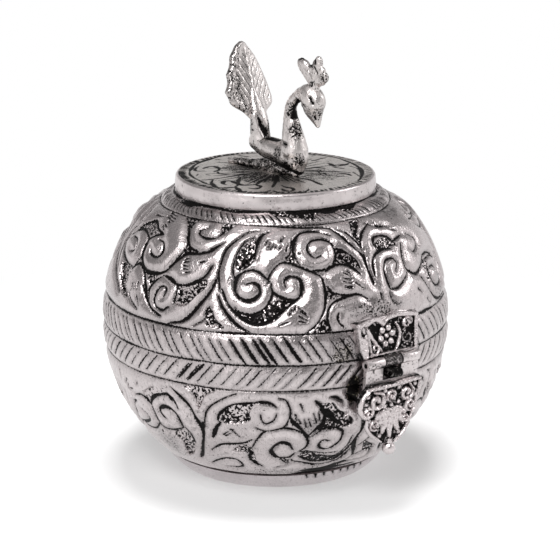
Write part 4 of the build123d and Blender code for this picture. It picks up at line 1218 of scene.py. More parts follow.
# ---- carved castings ----
class Carving:
    """Relief raised on a flat face: each form lifts the points it covers to its own height."""

    def __init__(self, across, up):
        self.across, self.up = across, up
        self.rise = np.zeros(np.broadcast_shapes(across.shape, up.shape))

    def ridge(self, points, width, height, steps=5):
        """A round ridge along a curve, half an ellipse in section and thinner towards its ends."""
        distance, where = near_line(through(points, steps), self.across, self.up)
        reach = width / 2 * (0.55 + 0.45 * np.clip(5 * where * (1 - where), 0, 1))
        self.rise = np.maximum(self.rise, height * np.sqrt(np.clip(1 - (distance / reach) ** 2, 0, 1)))

    def boss(self, across, up, width, height, length=None):
        """A bead: a dome on an ellipse."""
        distance = np.hypot((self.across - across) / width, (self.up - up) / (length or width)) * 2
        self.rise = np.maximum(self.rise, height * np.sqrt(np.clip(1 - distance**2, 0, 1)))

    def hollow(self, across, up, width, length):
        """A hole or dent cut out of whatever was raised there."""
        distance = np.hypot((self.across - across) / width, (self.up - up) / length) * 2
        self.rise = self.rise * smooth(0.75, 1.15, distance)

    def lump(self, height):
        """Unevenness of the casting all over, greater where the relief is higher."""
        uneven = ripple(self.across, self.up, 1.7, 71) + 0.7 * ripple(self.across, self.up, 0.9, 72)
        self.rise = np.maximum(self.rise + height * uneven * (0.6 + self.rise), 0)

    def spiral(self, across, up, radius, turns, start, width, height):
        """A ridge that winds in to a centre: its radius shrinks evenly as it turns."""
        share = np.linspace(0, 1, 9)
        angle = start * DEGREE + share * turns * 2 * np.pi
        reach = radius * (1 - 0.85 * share)
        points = np.stack([across + reach * np.cos(angle), up + reach * np.sin(angle)], -1)
        self.ridge(points, width, height, 3)


def round_both(front, back, step=1):
    """Rows that run over a front from left to right and then, at every so many points, back behind it."""
    return np.concatenate([front, back[:, ::-step]], 1)


def carved_plate(carving, front, back, place):
    """A closed plate: closed rows over its front and back faces, which are heights off its own plane, put
    where it belongs by place. Its `rise` is the relief."""
    across, up, rise = (round_both(field, field, 4) for field in (carving.across, carving.up, carving.rise))
    return skin(place(np.stack([across, up, round_both(front, back, 4)], -1)), {"rise": rise})


def rounded(share, reach, radius):
    """How far a face has dropped at a border: a quarter circle of the given radius. share runs from -1 to
    1 over the face, whose half width is reach."""
    edge = np.clip((1 - abs(share)) * reach / radius, 0, 1)
    return radius * (1 - np.sqrt(1 - (1 - edge) ** 2))


PLATE_HEIGHT = 11.3
PLATE_TILT = np.arcsin((0.5 + PLATE_HEIGHT / 2) / RADIUS)
PLATE_WIDTHS = (21.5, 23.7)
PLATE_GROUND = 0.95  # where the ground between the relief lies off the plate's back
PLATE_RELIEF = 1.15
PLATE_BORDER = 0.5  # radius of its rounded border
PLATE_SEAT = 0.05  # how far the plate's back is let into the globe

# where the plate's flower has its middle, across and up
FLOWER = (-0.9, 5.9)


class PAANBOX_OT_clasp(PaanBoxOperator):
    """Build the clasp's plate: a lobed rim round a flower of beads, with smooth flanks and rivet holes"""

    bl_idname = "paan_box.clasp"
    bl_label = "Clasp plate"

    def execute(self, context):
        share = np.linspace(-1, 1, 110)[None]
        lift = np.linspace(0, 1, 60)[:, None]
        low, high = PLATE_WIDTHS[0] / 2, PLATE_WIDTHS[1] / 2
        across = share * (low + (high - low) * lift)
        lobes = 0.9 * hump(across + 5.5, 3.2) + 1.1 * hump(across - 4.5, 4.6)
        lobes = lobes - 1.1 * hump(across + 1.6, 1.1)
        carving = Carving(across, lift * (PLATE_HEIGHT + lobes))
        self.carve(carving)
        sides = rounded(share, high, PLATE_BORDER)
        ends = np.maximum(sides, rounded(2 * lift - 1, PLATE_HEIGHT / 2, PLATE_BORDER))
        front = PLATE_GROUND - ends + PLATE_RELIEF * self.sizes.carving / MM * carving.rise
        back = np.sqrt(RADIUS**2 - across**2 - (carving.up - PLATE_HEIGHT / 2) ** 2) - RADIUS - PLATE_SEAT
        shape = joined(carved_plate(carving, front, back, self.placed), self.barrel())
        metal = self.carved_metal()
        make_piece("clasp_plate_carved", shape, metal, "lid", ["clasp_plate"])
        return {"FINISHED"}

    def carve(self, carving):
        """The plate's relief, in millimetres across from its middle and up from its lower edge."""
        for points, width, height in (
            ([(-11.6, 10.4), (-8.5, 10.9), (-5.5, 11.9), (-3.4, 11.4), (-2.1, 9.6)], 2.6, 0.95),
            ([(-2.0, 9.8), (0, 11.6), (4.5, 12.0), (8.5, 11.4), (11.4, 10.4)], 2.6, 0.95),
            ([(-10.6, 10.6), (-9.9, 6), (-9.2, 0.4)], 3.6, 0.75),
            ([(-7.9, 8.6), (-6.2, 5.4), (-3.2, 1.6)], 1.1, 0.9),
            ([(-8.3, 9.6), (-7.6, 5), (-7.0, 0.6)], 1.0, 0.6),
            ([(2.6, 9.4), (4.2, 6.6), (3.6, 3.4), (2.2, 1.2)], 1.0, 0.9),
            ([(11, 10.4), (10.8, 6), (10.2, 0.6)], 1.4, 0.8),
            ([(-10, 0.5), (-3, 0.7), (3, 0.6), (10, 0.5)], 0.8, 0.7),
        ):
            carving.ridge(points, width, height)
        for angle in range(12, 372, 60):
            x, z = 2.35 * np.cos(angle * DEGREE), 2.5 * np.sin(angle * DEGREE)
            carving.boss(FLOWER[0] + x, FLOWER[1] + z, 2.0, 1.05, 2.2)
        carving.boss(*FLOWER, 1.6, 0.85)
        carving.spiral(-5.6, 2.6, 1.9, 1.2, 200, 0.9, 0.75)
        carving.spiral(7.2, 8.4, 1.9, 1.0, 20, 1.0, 0.8)
        carving.spiral(7.4, 4.2, 2.4, 1.2, 100, 0.8, 0.30)
        for step in range(6):
            carving.boss(5.0 + 1.0 * step, 1.9 + 0.5 * (step % 2), 0.8, 0.5)
            carving.boss(-3.6 + 1.1 * step, 2.0 + 0.4 * (step % 2), 0.6, 0.3)
        carving.hollow(-9.7, 8.4, 2.3, 3.4)
        carving.hollow(7.2, 8.4, 1.1, 1.3)
        carving.lump(0.16)

    def placed(self, points):
        """Turns plate coordinates (across, up, off the plate) into places on the lid."""
        across, up, off = np.moveaxis(points, -1, 0)
        sine, cosine = np.sin(PLATE_TILT), np.cos(PLATE_TILT)
        half = PLATE_HEIGHT / 2
        y = -RADIUS * cosine - half * sine + up * sine - off * cosine
        z = SEAM + RADIUS * sine - half * cosine + up * cosine + off * sine
        return np.stack([across, y, z], -1)

    def barrel(self):
        """The plate's knuckle round the hasp's pin and the square web that carries it."""
        angle = circle(28)
        across = column([-3.1, -3.0, -2.6, 0, 2.6, 3.0, 3.1])
        radius = column([1.3, 1.6, 1.7, 1.7, 1.7, 1.6, 1.3])
        y, z = HASP_Y + radius * np.cos(angle), HASP_Z + radius * np.sin(angle)
        # the knuckle and its web carry a low rise, so the carved metal colours them nearly black: painted
        # shade under the plate's lower edge
        tube = skin(np.stack([across + 0 * angle, y, z], -1), {"rise": 0.22})
        side, deep = column([-3.0, -2.8, 2.8, 3.0]), column([0.2, 0.7, 0.7, 0.2])
        y = HASP_Y + 0.9 + deep * np.sign(np.cos(angle + np.pi / 4))
        z = HASP_Z + 1.2 + (deep + 0.3) * np.sign(np.sin(angle + np.pi / 4))
        return joined(tube, skin(np.stack([side + 0 * angle, y, z], -1), {"rise": 0.2}))


def column(values):
    """One value for each row."""
    return np.array(values, float)[:, None]


SHIELD_TOP, SHIELD_TIP = 7.2, 27.2
SHIELD_BACK = 0.75  # off the strap's middle, like the next two
SHIELD_GROUND = 1.95
BALL_MIDDLE = 1.7
BALL_RADIUS = 2.1
SHIELD_RELIEF = 1.25
SHIELD_BORDER = 0.6
SHIELD_REACH = 9.0  # about half its width
HASP_LEAN = 5 * DEGREE

# where the shield's leaves fan out from, across and below the seam
FAN = (-0.8, 15.2)


def hanging(points):
    """Swings hasp coordinates (across, below the seam, off the strap's middle) in about the pin to where
    the closed hasp hangs."""
    across, below, off = np.moveaxis(points, -1, 0)
    drop = SEAM - below - HASP_Z
    y = HASP_Y - off * np.cos(HASP_LEAN) - drop * np.sin(HASP_LEAN)
    z = HASP_Z - off * np.sin(HASP_LEAN) + drop * np.cos(HASP_LEAN)
    return np.stack([across, y, z], -1)


class PAANBOX_OT_shield(PaanBoxOperator):
    """Build the shield on the hasp: a rolled top edge over scrolls and a fan of leaves, and its ball"""

    bl_idname = "paan_box.shield"
    bl_label = "Hasp shield"

    # half widths to the left and right at depths below the seam
    OUTLINE = [
        (SHIELD_TOP, 10.6, 10.4), (9.0, 12.6, 10.8), (11.5, 13.6, 10.6), (15.0, 13.4, 9.6),
        (17.5, 11.4, 8.4), (20.0, 10.8, 7.6), (23.0, 8.8, 6.4), (25.4, 5.6, 4.9), (SHIELD_TIP, 2.4, 2.4),
    ]

    def execute(self, context):
        below, left, right = through(self.OUTLINE, 9)[::-1].T[..., None]
        share = np.linspace(-1, 1, 120)[None]
        across = np.where(share < 0, share * left, share * right)
        carving = Carving(across, below + 0 * share)
        self.carve(carving)
        height = np.linspace(-1, 1, len(below))[:, None]
        middle = (SHIELD_TIP - SHIELD_TOP) / 2
        sides = rounded(share, SHIELD_REACH, SHIELD_BORDER)
        ends = np.maximum(sides, rounded(height, middle, SHIELD_BORDER))
        front = SHIELD_GROUND - ends + SHIELD_RELIEF * self.sizes.carving / MM * carving.rise
        shape = carved_plate(carving, front, np.full(across.shape, SHIELD_BACK), hanging)
        metal = self.carved_metal()
        make_piece("hasp_shield_carved", shape, metal, "hasp", ["hasp_shield"])
        make_piece("hasp_ball", self.ball(), metal, "hasp", ["hasp_knob"])
        return {"FINISHED"}

    def carve(self, carving):
        """The shield's relief, in millimetres across from its middle and below the seam."""
        for points, width, height in (
            ([(-10.6, 8.1), (-4, 8.0), (3, 7.9), (10.4, 7.8)], 1.7, 0.85),
            ([(-10.4, 8.4), (-12.4, 10.8), (-12.8, 14.5), (-10.8, 16.9), (-8.6, 16.2)], 1.5, 0.95),
            ([(10, 8.6), (9.6, 11.5), (8.6, 15.2), (7.4, 18.6)], 1.2, 0.85),
            ([(-10.2, 18), (-10, 20.4), (-7.6, 23.4), (-4, 26)], 1.3, 0.85),
            ([(7.2, 19.2), (6, 22.6), (3.6, 25.6), (1, 27)], 1.3, 0.85),
        ):
            carving.ridge(points, width, height)
        for across, below, radius, start, width in (
            (-6.6, 12.4, 3.3, 250, 1.5), (5.0, 11.6, 2.9, 290, 1.3), (-0.9, 11.4, 2.2, 90, 1.1),
            (-9.6, 15.6, 2.2, 140, 1.1), (6.6, 15.8, 2.2, 40, 1.1), (-7.2, 19.8, 2.0, 60, 1.0),
            (5.0, 20.2, 1.7, 120, 0.9),
        ):
            carving.spiral(across, below, radius, 1.4, start, width, 0.95)
        for angle in (-64, -42, -21, 0, 21, 42, 64):
            x, z = np.sin(angle * DEGREE), np.cos(angle * DEGREE)
            tip = 9.4 - 0.05 * abs(angle)
            ways = ((1.2, 1.1), (5, 4.6), (tip, tip))
            carving.ridge([(FAN[0] + wide * x, FAN[1] + long * z) for wide, long in ways], 2.5, 0.8)
        for across, below in (
            (8.2, 9.4), (8.6, 12.9), (-10.2, 10.2), (-10.8, 12.6), (-3.6, 9.4), (2.0, 9.3),
            (-3.4, 14.6), (2.0, 14.0), (-0.8, 14.4), (-4.6, 24.0), (3.0, 24.2), (-9.2, 18.2),
        ):
            carving.boss(across, below, 1.5, 0.7)
        carving.lump(0.22)

    def ball(self):
        """A ball under the shield's tip on a short neck, turned about a hanging axis."""
        turn = circle(32)
        angle = np.linspace(-88, 62, 22)[:, None] * DEGREE
        radius = np.vstack([BALL_RADIUS * np.cos(angle), [[0.95]], [[0.8]]])
        lift = np.vstack([BALL_RADIUS * np.sin(angle), [[2.3]], [[3.2]]])
        across, off = radius * np.cos(turn), BALL_MIDDLE - radius * np.sin(turn)
        below = SHIELD_TIP + 1.9 - lift + 0 * turn
        return skin(hanging(np.stack([across, below, off], -1)), {"rise": 0.8})


# ---- the peacock: a place is its distance back from the stud and its height above the lid's top ----
FINIAL_TURN = 6.5 * DEGREE
TAIL_HALF_WIDTH = 9.6
TAIL_HEIGHT = 25.4
TAIL_BACK, TAIL_UP = 7.4, 15.4
TAIL_SWEEP = 16 * DEGREE
TAIL_LEAN = 19 * DEGREE


def standing(points):
    """Turns peacock coordinates (across, back, up) to where it stands on the lid."""
    across, back, up = np.moveaxis(points, -1, 0)
    x = across * np.cos(FINIAL_TURN) - back * np.sin(FINIAL_TURN)
    y = across * np.sin(FINIAL_TURN) + back * np.cos(FINIAL_TURN)
    return np.stack([x, y, CAP_TOP + up], -1)


def lain(points):
    """Peacock coordinates (across, back, up) of places on the lid."""
    x, y, z = np.moveaxis(points, -1, 0)
    across = x * np.cos(FINIAL_TURN) + y * np.sin(FINIAL_TURN)
    back = y * np.cos(FINIAL_TURN) - x * np.sin(FINIAL_TURN)
    return np.stack([across, back, z - CAP_TOP], -1)


def limb(stations):
    """A rounded limb in the peacock's middle plane: ellipses square to a smooth path, closed by domes. A
    station is its place back and up, its half depth in the plane and its half width across."""
    line = through(stations, 8)
    path, depth, width = line[:, :2], line[:, 2], line[:, 3]
    ahead = np.gradient(path, axis=0)
    ahead /= np.linalg.norm(ahead, axis=1, keepdims=True)
    dome = np.linspace(80, 0, 6)[:-1] * DEGREE
    start = path[:1] - ahead[:1] * depth[0] * np.sin(dome)[:, None]
    end = path[-1:] + ahead[-1:] * depth[-1] * np.sin(dome[::-1])[:, None]
    path = np.vstack([start, path, end])
    ahead = np.pad(ahead, ((len(dome), len(dome)), (0, 0)), "edge")
    depth, width = (
        np.concatenate([half[0] * np.cos(dome), half, half[-1] * np.cos(dome[::-1])])
        for half in (depth, width)
    )
    turn = circle(28)
    away = depth[:, None] * np.cos(turn)
    back = path[:, :1] - away * ahead[:, 1:]
    up = path[:, 1:] + away * ahead[:, :1]
    return skin(standing(np.stack([width[:, None] * np.sin(turn), back, up], -1)))


def sculpted(shape, voxel=0.32, passes=4):
    """Blends overlapping closed surfaces into one flowing form by a voxel remesh and smoothing. Returns its
    points, their normals and its faces."""
    blank = new_mesh("blank", *shape[:2])
    remesh = blank.modifiers.new("blend", "REMESH")
    remesh.mode, remesh.voxel_size, remesh.adaptivity = "VOXEL", voxel * MM, 0.0
    relax = blank.modifiers.new("relax", "SMOOTH")
    relax.factor, relax.iterations = 0.5, passes
    made = bpy.data.meshes.new_from_object(blank.evaluated_get(bpy.context.evaluated_depsgraph_get()))
    points, normals = np.empty(len(made.vertices) * 3), np.empty(len(made.vertices) * 3)
    made.vertices.foreach_get("co", points)
    made.vertex_normals.foreach_get("vector", normals)
    faces = np.empty(len(made.loops), int)
    made.loops.foreach_get("vertex_index", faces)
    bpy.data.objects.remove(blank)
    return points.reshape(-1, 3) / MM, normals.reshape(-1, 3), faces.reshape(-1, 4)


def worked(form, marks, tarnish, wave=0.09, shadow=None):
    """Finishes a casting: lumps of the mould all over, and marks chased into it. A mark is its two ends
    in peacock coordinates, half width and depth; without a place across, it runs on both sides. The
    clouds are of tarnish and of painted shade, each a place and its reach, and shadow is a line, places
    back and up, under which the casting is coloured black as painted shadow and oxide."""
    points, normals, faces = form
    lying = lain(points)
    gap = np.full(len(points), Sheet.MARGIN)
    if shadow:
        gap = np.minimum(gap, lying[:, 2] - np.interp(lying[:, 1], *np.array(shadow).T))
    lift = wave * ripple(points[:, 0] + points[:, 1], points[:, 2] - 0.4 * points[:, 1], 2.4, 51)
    lift = lift + 0.5 * wave * ripple(points[:, 0] - points[:, 1], points[:, 2], 1.1, 52)
    for start, end, half_width, depth in marks:
        start, run = np.array(start, float), np.subtract(end, start)
        near = lying[:, 3 - len(start):] - start
        share = np.clip(near @ run / (run @ run), 0, 1)[:, None]
        distance = np.linalg.norm(near - share * run, axis=1) - half_width
        gap = np.minimum(gap, distance)
        lift = lift - depth * fall_off(distance, 0.3)
    darkened = np.zeros(len(points))
    for place, reach in tarnish:
        away = np.linalg.norm(points - standing(np.array(place, float)), axis=1)
        darkened = np.maximum(darkened, smooth(reach, 0.35 * reach, away))
    fields = {"gap": gap, "sunk": 0 * gap - Sheet.MARGIN, "tarnish": darkened}
    return points + normals * lift[:, None], faces.tolist(), fields


class PAANBOX_OT_peacock(PaanBoxOperator):
    """Build the peacock finial: body and neck, tail leaf, crest and the knotted perch under it"""

    bl_idname = "paan_box.peacock"
    bl_label = "Peacock"

    def execute(self, context):
        metal = self.chased("cast_silver", self.colours.cast, 0.9, 0.06, 0.045)
        for name, shape, node in (
            ("peacock_bird", self.bird(), "peacock_body"),
            ("peacock_leaf", self.tail(), "peacock_tail"),
            ("peacock_crown", self.crest(), "peacock_crest"),
            ("peacock_branch", self.perch(), "peacock_perch"),
        ):
            make_piece(name, shape, metal, "lid", [node], 60.0)
        return {"FINISHED"}

    def bird(self):
        """Body, breast, neck and head, each a limb, blended into one."""
        body = limb([(8.2, 8.6, 3.0, 2.6), (4, 7.4, 3.5, 3.2), (-1, 6.9, 3.8, 3.7), (-6, 6.0, 4.3, 4.1),
                     (-9, 5.2, 4.0, 3.9)])
        breast = limb([(-10.4, 2.4, 1.9, 1.7), (-10.0, 4.6, 3.6, 3.0), (-8.7, 7.5, 4.4, 4.2),
                       (-8.1, 11.0, 4.0, 3.6), (-7.3, 15.5, 3.1, 2.7), (-6.8, 20.8, 2.1, 1.8),
                       (-8.4, 23.9, 1.9, 1.7), (-12.2, 26.6, 2.2, 2.0)])
        head = limb([(-11.5, 26.2, 2.2, 2.1), (-14.6, 26.4, 3.6, 3.2), (-16.6, 24.6, 4.3, 3.5),
                     (-17.1, 21.9, 3.4, 2.8), (-18.1, 19.2, 1.9, 1.6), (-18.6, 17.7, 1.0, 0.9)])
        both_sides = [
            ((2.9, -18.0, 26.4), (2.7, -19.2, 24.6), 0.32, 0.35),
            ((3.4, -15.2, 24.0), (3.3, -15.9, 23.2), 0.22, 0.3),
            ((1.6, -18.9, 20.4), (1.4, -19.1, 19.6), 0.24, 0.3),
            ((3.4, -6.4, 10.7), (3.8, -8.4, 10.5), 0.35, 0.4),
        ]
        marks = []
        for mirror in ((-1, 1, 1), (1, 1, 1)):
            marks += [(np.multiply(mirror, a), np.multiply(mirror, b), *size) for a, b, *size in both_sides]
        marks += [((-11.2, 24.2), (-9.2, 21.4), 0.5, 0.2), ((-9.2, 21.4), (-9.0, 18.6), 0.4, 0.2),
                  ((-1.0, 2.6, 11.4), (-0.6, -1.6, 10.6), 1.0, 0.3)]
        # painted shadow: under this line, along the underside of the body, the casting is coloured black,
        # with its oxide
        line = [(-12.5, 1.6), (-11, 2.3), (-9, 3.7), (-5, 4.4), (-1, 4.4), (4, 4.7), (6, 5.5), (9, 6.8),
                (11, 7.5)]
        # clouds of tarnish and painted shade: the low ones darken the body where it meets the perch, others
        # the hollow in front of the neck under the head and the back by the tail's stem
        stains_and_shade = [((-4, -4.7, 7.0), 3.0), ((-2, -12.2, 5.4), 3.2), ((-1.0, -9.2, 20.5), 4.6),
                  ((-1, -10.6, 15), 4.2), ((-3, -1.5, 3), 5.2), ((-3.6, -8.6, 2.5), 4.6),
                  ((-3, -5, 2.5), 4.0), ((0, 3.0, 10.8), 4.4), ((-2.5, -13.2, 22.5), 4.0),
                  ((-2, 7.0, 5.6), 4.0), ((0, -18, 22), 4.0)]
        return worked(sculpted(joined(body, breast, head)), marks, stains_and_shade, shadow=line)

    def crest(self):
        """Three leaves fanned over the head, grown together nearly to their tips, from one lumpy root."""
        lobes = (
            [(-17.0, 28.0, 2.0, 1.7), (-16.8, 31.4, 2.2, 1.5)],
            [(-16.4, 30.8, 1.8, 1.2), (-14.6, 33.0, 2.1, 1.3), (-12.6, 35.2, 2.2, 1.3),
             (-11.8, 35.9, 1.9, 1.1)],
            [(-17.0, 30.8, 1.8, 1.1), (-17.9, 34.0, 1.9, 1.2), (-18.6, 36.6, 1.9, 1.2),
             (-18.8, 37.4, 1.6, 1.0)],
            [(-16.8, 31.0, 2.2, 1.0), (-16.3, 34.4, 1.9, 0.9)],
            [(-18.0, 30.6, 1.7, 1.2), (-20.2, 32.0, 2.0, 1.3), (-21.3, 32.6, 1.7, 1.1)],
            [(-18.4, 31.8, 1.5, 1.1), (-20.3, 34.4, 1.4, 1.1)],
        )
        marks = [((-10.6, 37.9), (-14.0, 37.6), 0.35, 0.2), ((-14.0, 37.6), (-16.0, 36.0), 0.35, 0.2),
                 ((-17.6, 38.6), (-18.4, 36.8), 0.3, 0.3), ((-19.2, 33.8), (-18.2, 35.4), 0.14, 0.3)]
        stains_and_shade = [((0, -10.8, 37), 2.2), ((0, -17.3, 36.4), 2.6), ((0, -21.5, 32.6), 2.4),
                  ((0, -17.4, 30.6), 2.6)]
        return worked(sculpted(joined(*map(limb, lobes)), voxel=0.26, passes=3), marks, stains_and_shade, wave=0.12)

    def perch(self):
        """A knotted branch lying on the lid, drawn out to a thin end behind."""
        branch = limb([(-9.4, 1.0, 1.2, 1.3), (-6, 1.4, 1.7, 1.9), (-3, 1.5, 2.1, 2.3), (1, 1.3, 1.6, 2.0),
                       (4.5, 1.5, 2.0, 2.2), (8, 1.2, 1.6, 1.8), (12, 0.9, 1.2, 1.5), (16, 0.9, 1.1, 1.4),
                       (20.5, 0.5, 0.8, 1.1)])
        post = limb([(0.6, 0.8, 2.2, 2.2), (0.2, 4.6, 2.3, 2.3)])
        # painted shade with tarnish: the perch darkens where it lies under the bird and where it meets the
        # disc
        stains_and_shade = [((0, -2, 1.4), 12.0), ((0, 8, 0.8), 8.0), ((0, 15, 0.2), 5.0)]
        form = sculpted(joined(branch, post), voxel=0.34, passes=2)
        points, faces, fields = worked(form, [], stains_and_shade, wave=0.35)
        points[:, 2] = np.maximum(points[:, 2], CAP_TOP - 0.1)
        return points, faces, fields

    def tail(self):
        """A leaf of two swept halves, with cuts that rise from its midrib, on a stem that grows out of the
        back. The leaf's outline is a half width at shares of its height, one for each side."""
        share = np.linspace(-1, 1, 100)[None]
        up = np.linspace(0, 1, 110)[:, None]
        outlines = (
            [(0, 0.24), (0.13, 0.5), (0.3, 0.97), (0.5, 0.93), (0.78, 0.62), (0.94, 0.33), (1, 0.08)],
            [(0, 0.24), (0.1, 0.55), (0.2, 1.0), (0.34, 1.02), (0.55, 0.86), (0.8, 0.56), (1, 0.08)],
        )
        left, right = (np.interp(up, *through(side, 12).T) * TAIL_HALF_WIDTH for side in outlines)
        half = np.where(share < 0, left, right)
        scallops = 1 - 0.09 * abs(np.sin(up * 15)) * smooth(0.2, 0.35, up) * (share < 0)
        across = share * half * scallops
        height = up * TAIL_HEIGHT + 0 * share
        thickness, gap = self.leaf(share, up, across, height, (1 - abs(share)) * half)
        across, height = round_both(across, across), round_both(height, height)
        off = round_both(-thickness, thickness)
        x = across * np.cos(TAIL_SWEEP) - off * np.sin(TAIL_SWEEP) * np.sign(across)
        y = abs(across) * np.sin(TAIL_SWEEP) + off * np.cos(TAIL_SWEEP)
        back = TAIL_BACK + y * np.cos(TAIL_LEAN) + height * np.sin(TAIL_LEAN)
        rise = TAIL_UP + height * np.cos(TAIL_LEAN) - y * np.sin(TAIL_LEAN)
        rim = share < -0.45
        stain = 0.70 * round_both(rim, rim)
        fields = {"gap": round_both(gap, gap), "sunk": -Sheet.MARGIN, "tarnish": stain}
        leaf = skin(standing(np.stack([x, back, rise], -1)), fields)
        stem = limb([(6.4, 8.6, 3.4, 3.0), (7.0, 11.4, 3.4, 2.9), (7.2, 14.4, 2.9, 3.0),
                     (7.8, 17.6, 2.1, 3.0), (9.0, 21.0, 1.3, 2.1), (10.6, 25.0, 0.9, 0.8)])
        marks = [((-2.5, 5.4, 17.6), (-1.6, 4.6, 14.4), 0.7, 0.5),
                 ((-1.6, 4.6, 14.4), (0.0, 3.6, 10.4), 0.9, 0.7)]
        stains_and_shade = [((2, 5.0, 13.0), 4.0), ((-3, 10.0, 14.0), 5.0), ((-2, 10.0, 19.0), 4.0)]
        return joined(leaf, worked(sculpted(stem, passes=3), marks, stains_and_shade))

    def leaf(self, share, up, across, height, edge):
        """Half thickness of the leaf and each point's distance from a cut: a rolled border, a midrib and
        cuts that rise from it, steeper and further apart on the left. edge is how far in the border is."""
        left = share < 0
        roll = 0.85 * hump(edge - 1.6, 1.4) * np.where(left, 1.0, 0.25) * smooth(0.1, 0.3, up)
        rib = 0.35 * hump(across, 0.8)
        slope, apart = np.where(left, 2.3, 1.15), np.where(left, 3.6, 3.2)
        cut = ((height - slope * abs(across) + 0.5 * ripple(across, height, 9.0, 62)) / apart) % 1
        cut = abs(cut - 0.5) * apart / np.hypot(1, slope) - 0.05
        reach = np.where(left, 3.0, 1.2) + 0.9 * ripple(0 * across, height, 5.0, 63)
        blade = smooth(reach, reach + 0.6, edge) * smooth(0.22, 0.30, up) * smooth(0.90, 0.82, up)
        gap = np.where(blade > 0.5, np.maximum(cut, 2.2 * cut), Sheet.MARGIN)
        sunk = np.where(blade > 0.5, 0.12, 0.0) * fall_off(cut, 0.20)
        uneven = (0.08 + 0.16 * (share < -0.5)) * ripple(across, height, 2.2, 61)
        at_border, at_tip = np.sqrt(np.clip(edge / 0.5, 0.02, 1)), np.clip((1 - up) * 30, 0.05, 1) ** 0.5
        return (0.62 + roll + rib - sunk + uneven) * at_border * at_tip, gap


# ---- CAD pieces that keep their shape ----
class PAANBOX_OT_fittings(PaanBoxOperator):
    """Give the hinge, staple, sleeve, strap, pins, rivets and finial fixings their metal and soft edges"""

    bl_idname = "paan_box.fittings"
    bl_label = "Fittings"

    def execute(self, context):
        hinge = self.plain("hinge_silver", self.colours.plain, 0.26, 0.25, 0.9)
        lining = self.plain("lining_silver", self.colours.lining, 0.4, 0.5, 0.6)
        darkened = self.plain("stained_silver", self.colours.lining, 0.4, 0.95, 0.6)
        special = dict.fromkeys(("rim_sleeve", "finial_washer", "finial_nut", "finial_stud"), lining)
        special |= dict.fromkeys(("staple", "hasp_pin"), darkened)
        # the strap gets more black pits than the hinge, which darken it: pitting, and painted shade of the
        # dark gap between the strap and the bowl
        special["hasp_strap"] = self.plain("strap_silver", self.colours.plain, 0.20, 0.42, 0.7)
        for name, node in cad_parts.items():
            if node.hide_render:
                continue
            node.data.materials.clear()
            node.data.materials.append(special.get(name, hinge))
            weld = node.modifiers.new("weld", "WELD")
            weld.merge_threshold = 0.01 * MM
            bevel = node.modifiers.new("soft_edges", "BEVEL")
            bevel.width = 0.15 * MM
            bevel.segments = 2
            bevel.limit_method = "ANGLE"
            bevel.angle_limit = 35 * DEGREE
        return {"FINISHED"}


# ---- stage ----
VIEW_AZIMUTH = -37.5 * DEGREE
VIEW_ELEVATION = 16.5 * DEGREE
VIEW_DISTANCE = 689.5
LENS = 138.2
FRAME_WIDTH = 560
SHIFT_RIGHT, SHIFT_UP = 4.5, 33.9  # in pixels of a view FRAME_WIDTH wide
WHITE = (1.0, 1.0, 1.0, 1.0)
WARM_WHITE = (1.0, 0.985, 0.985, 1.0)


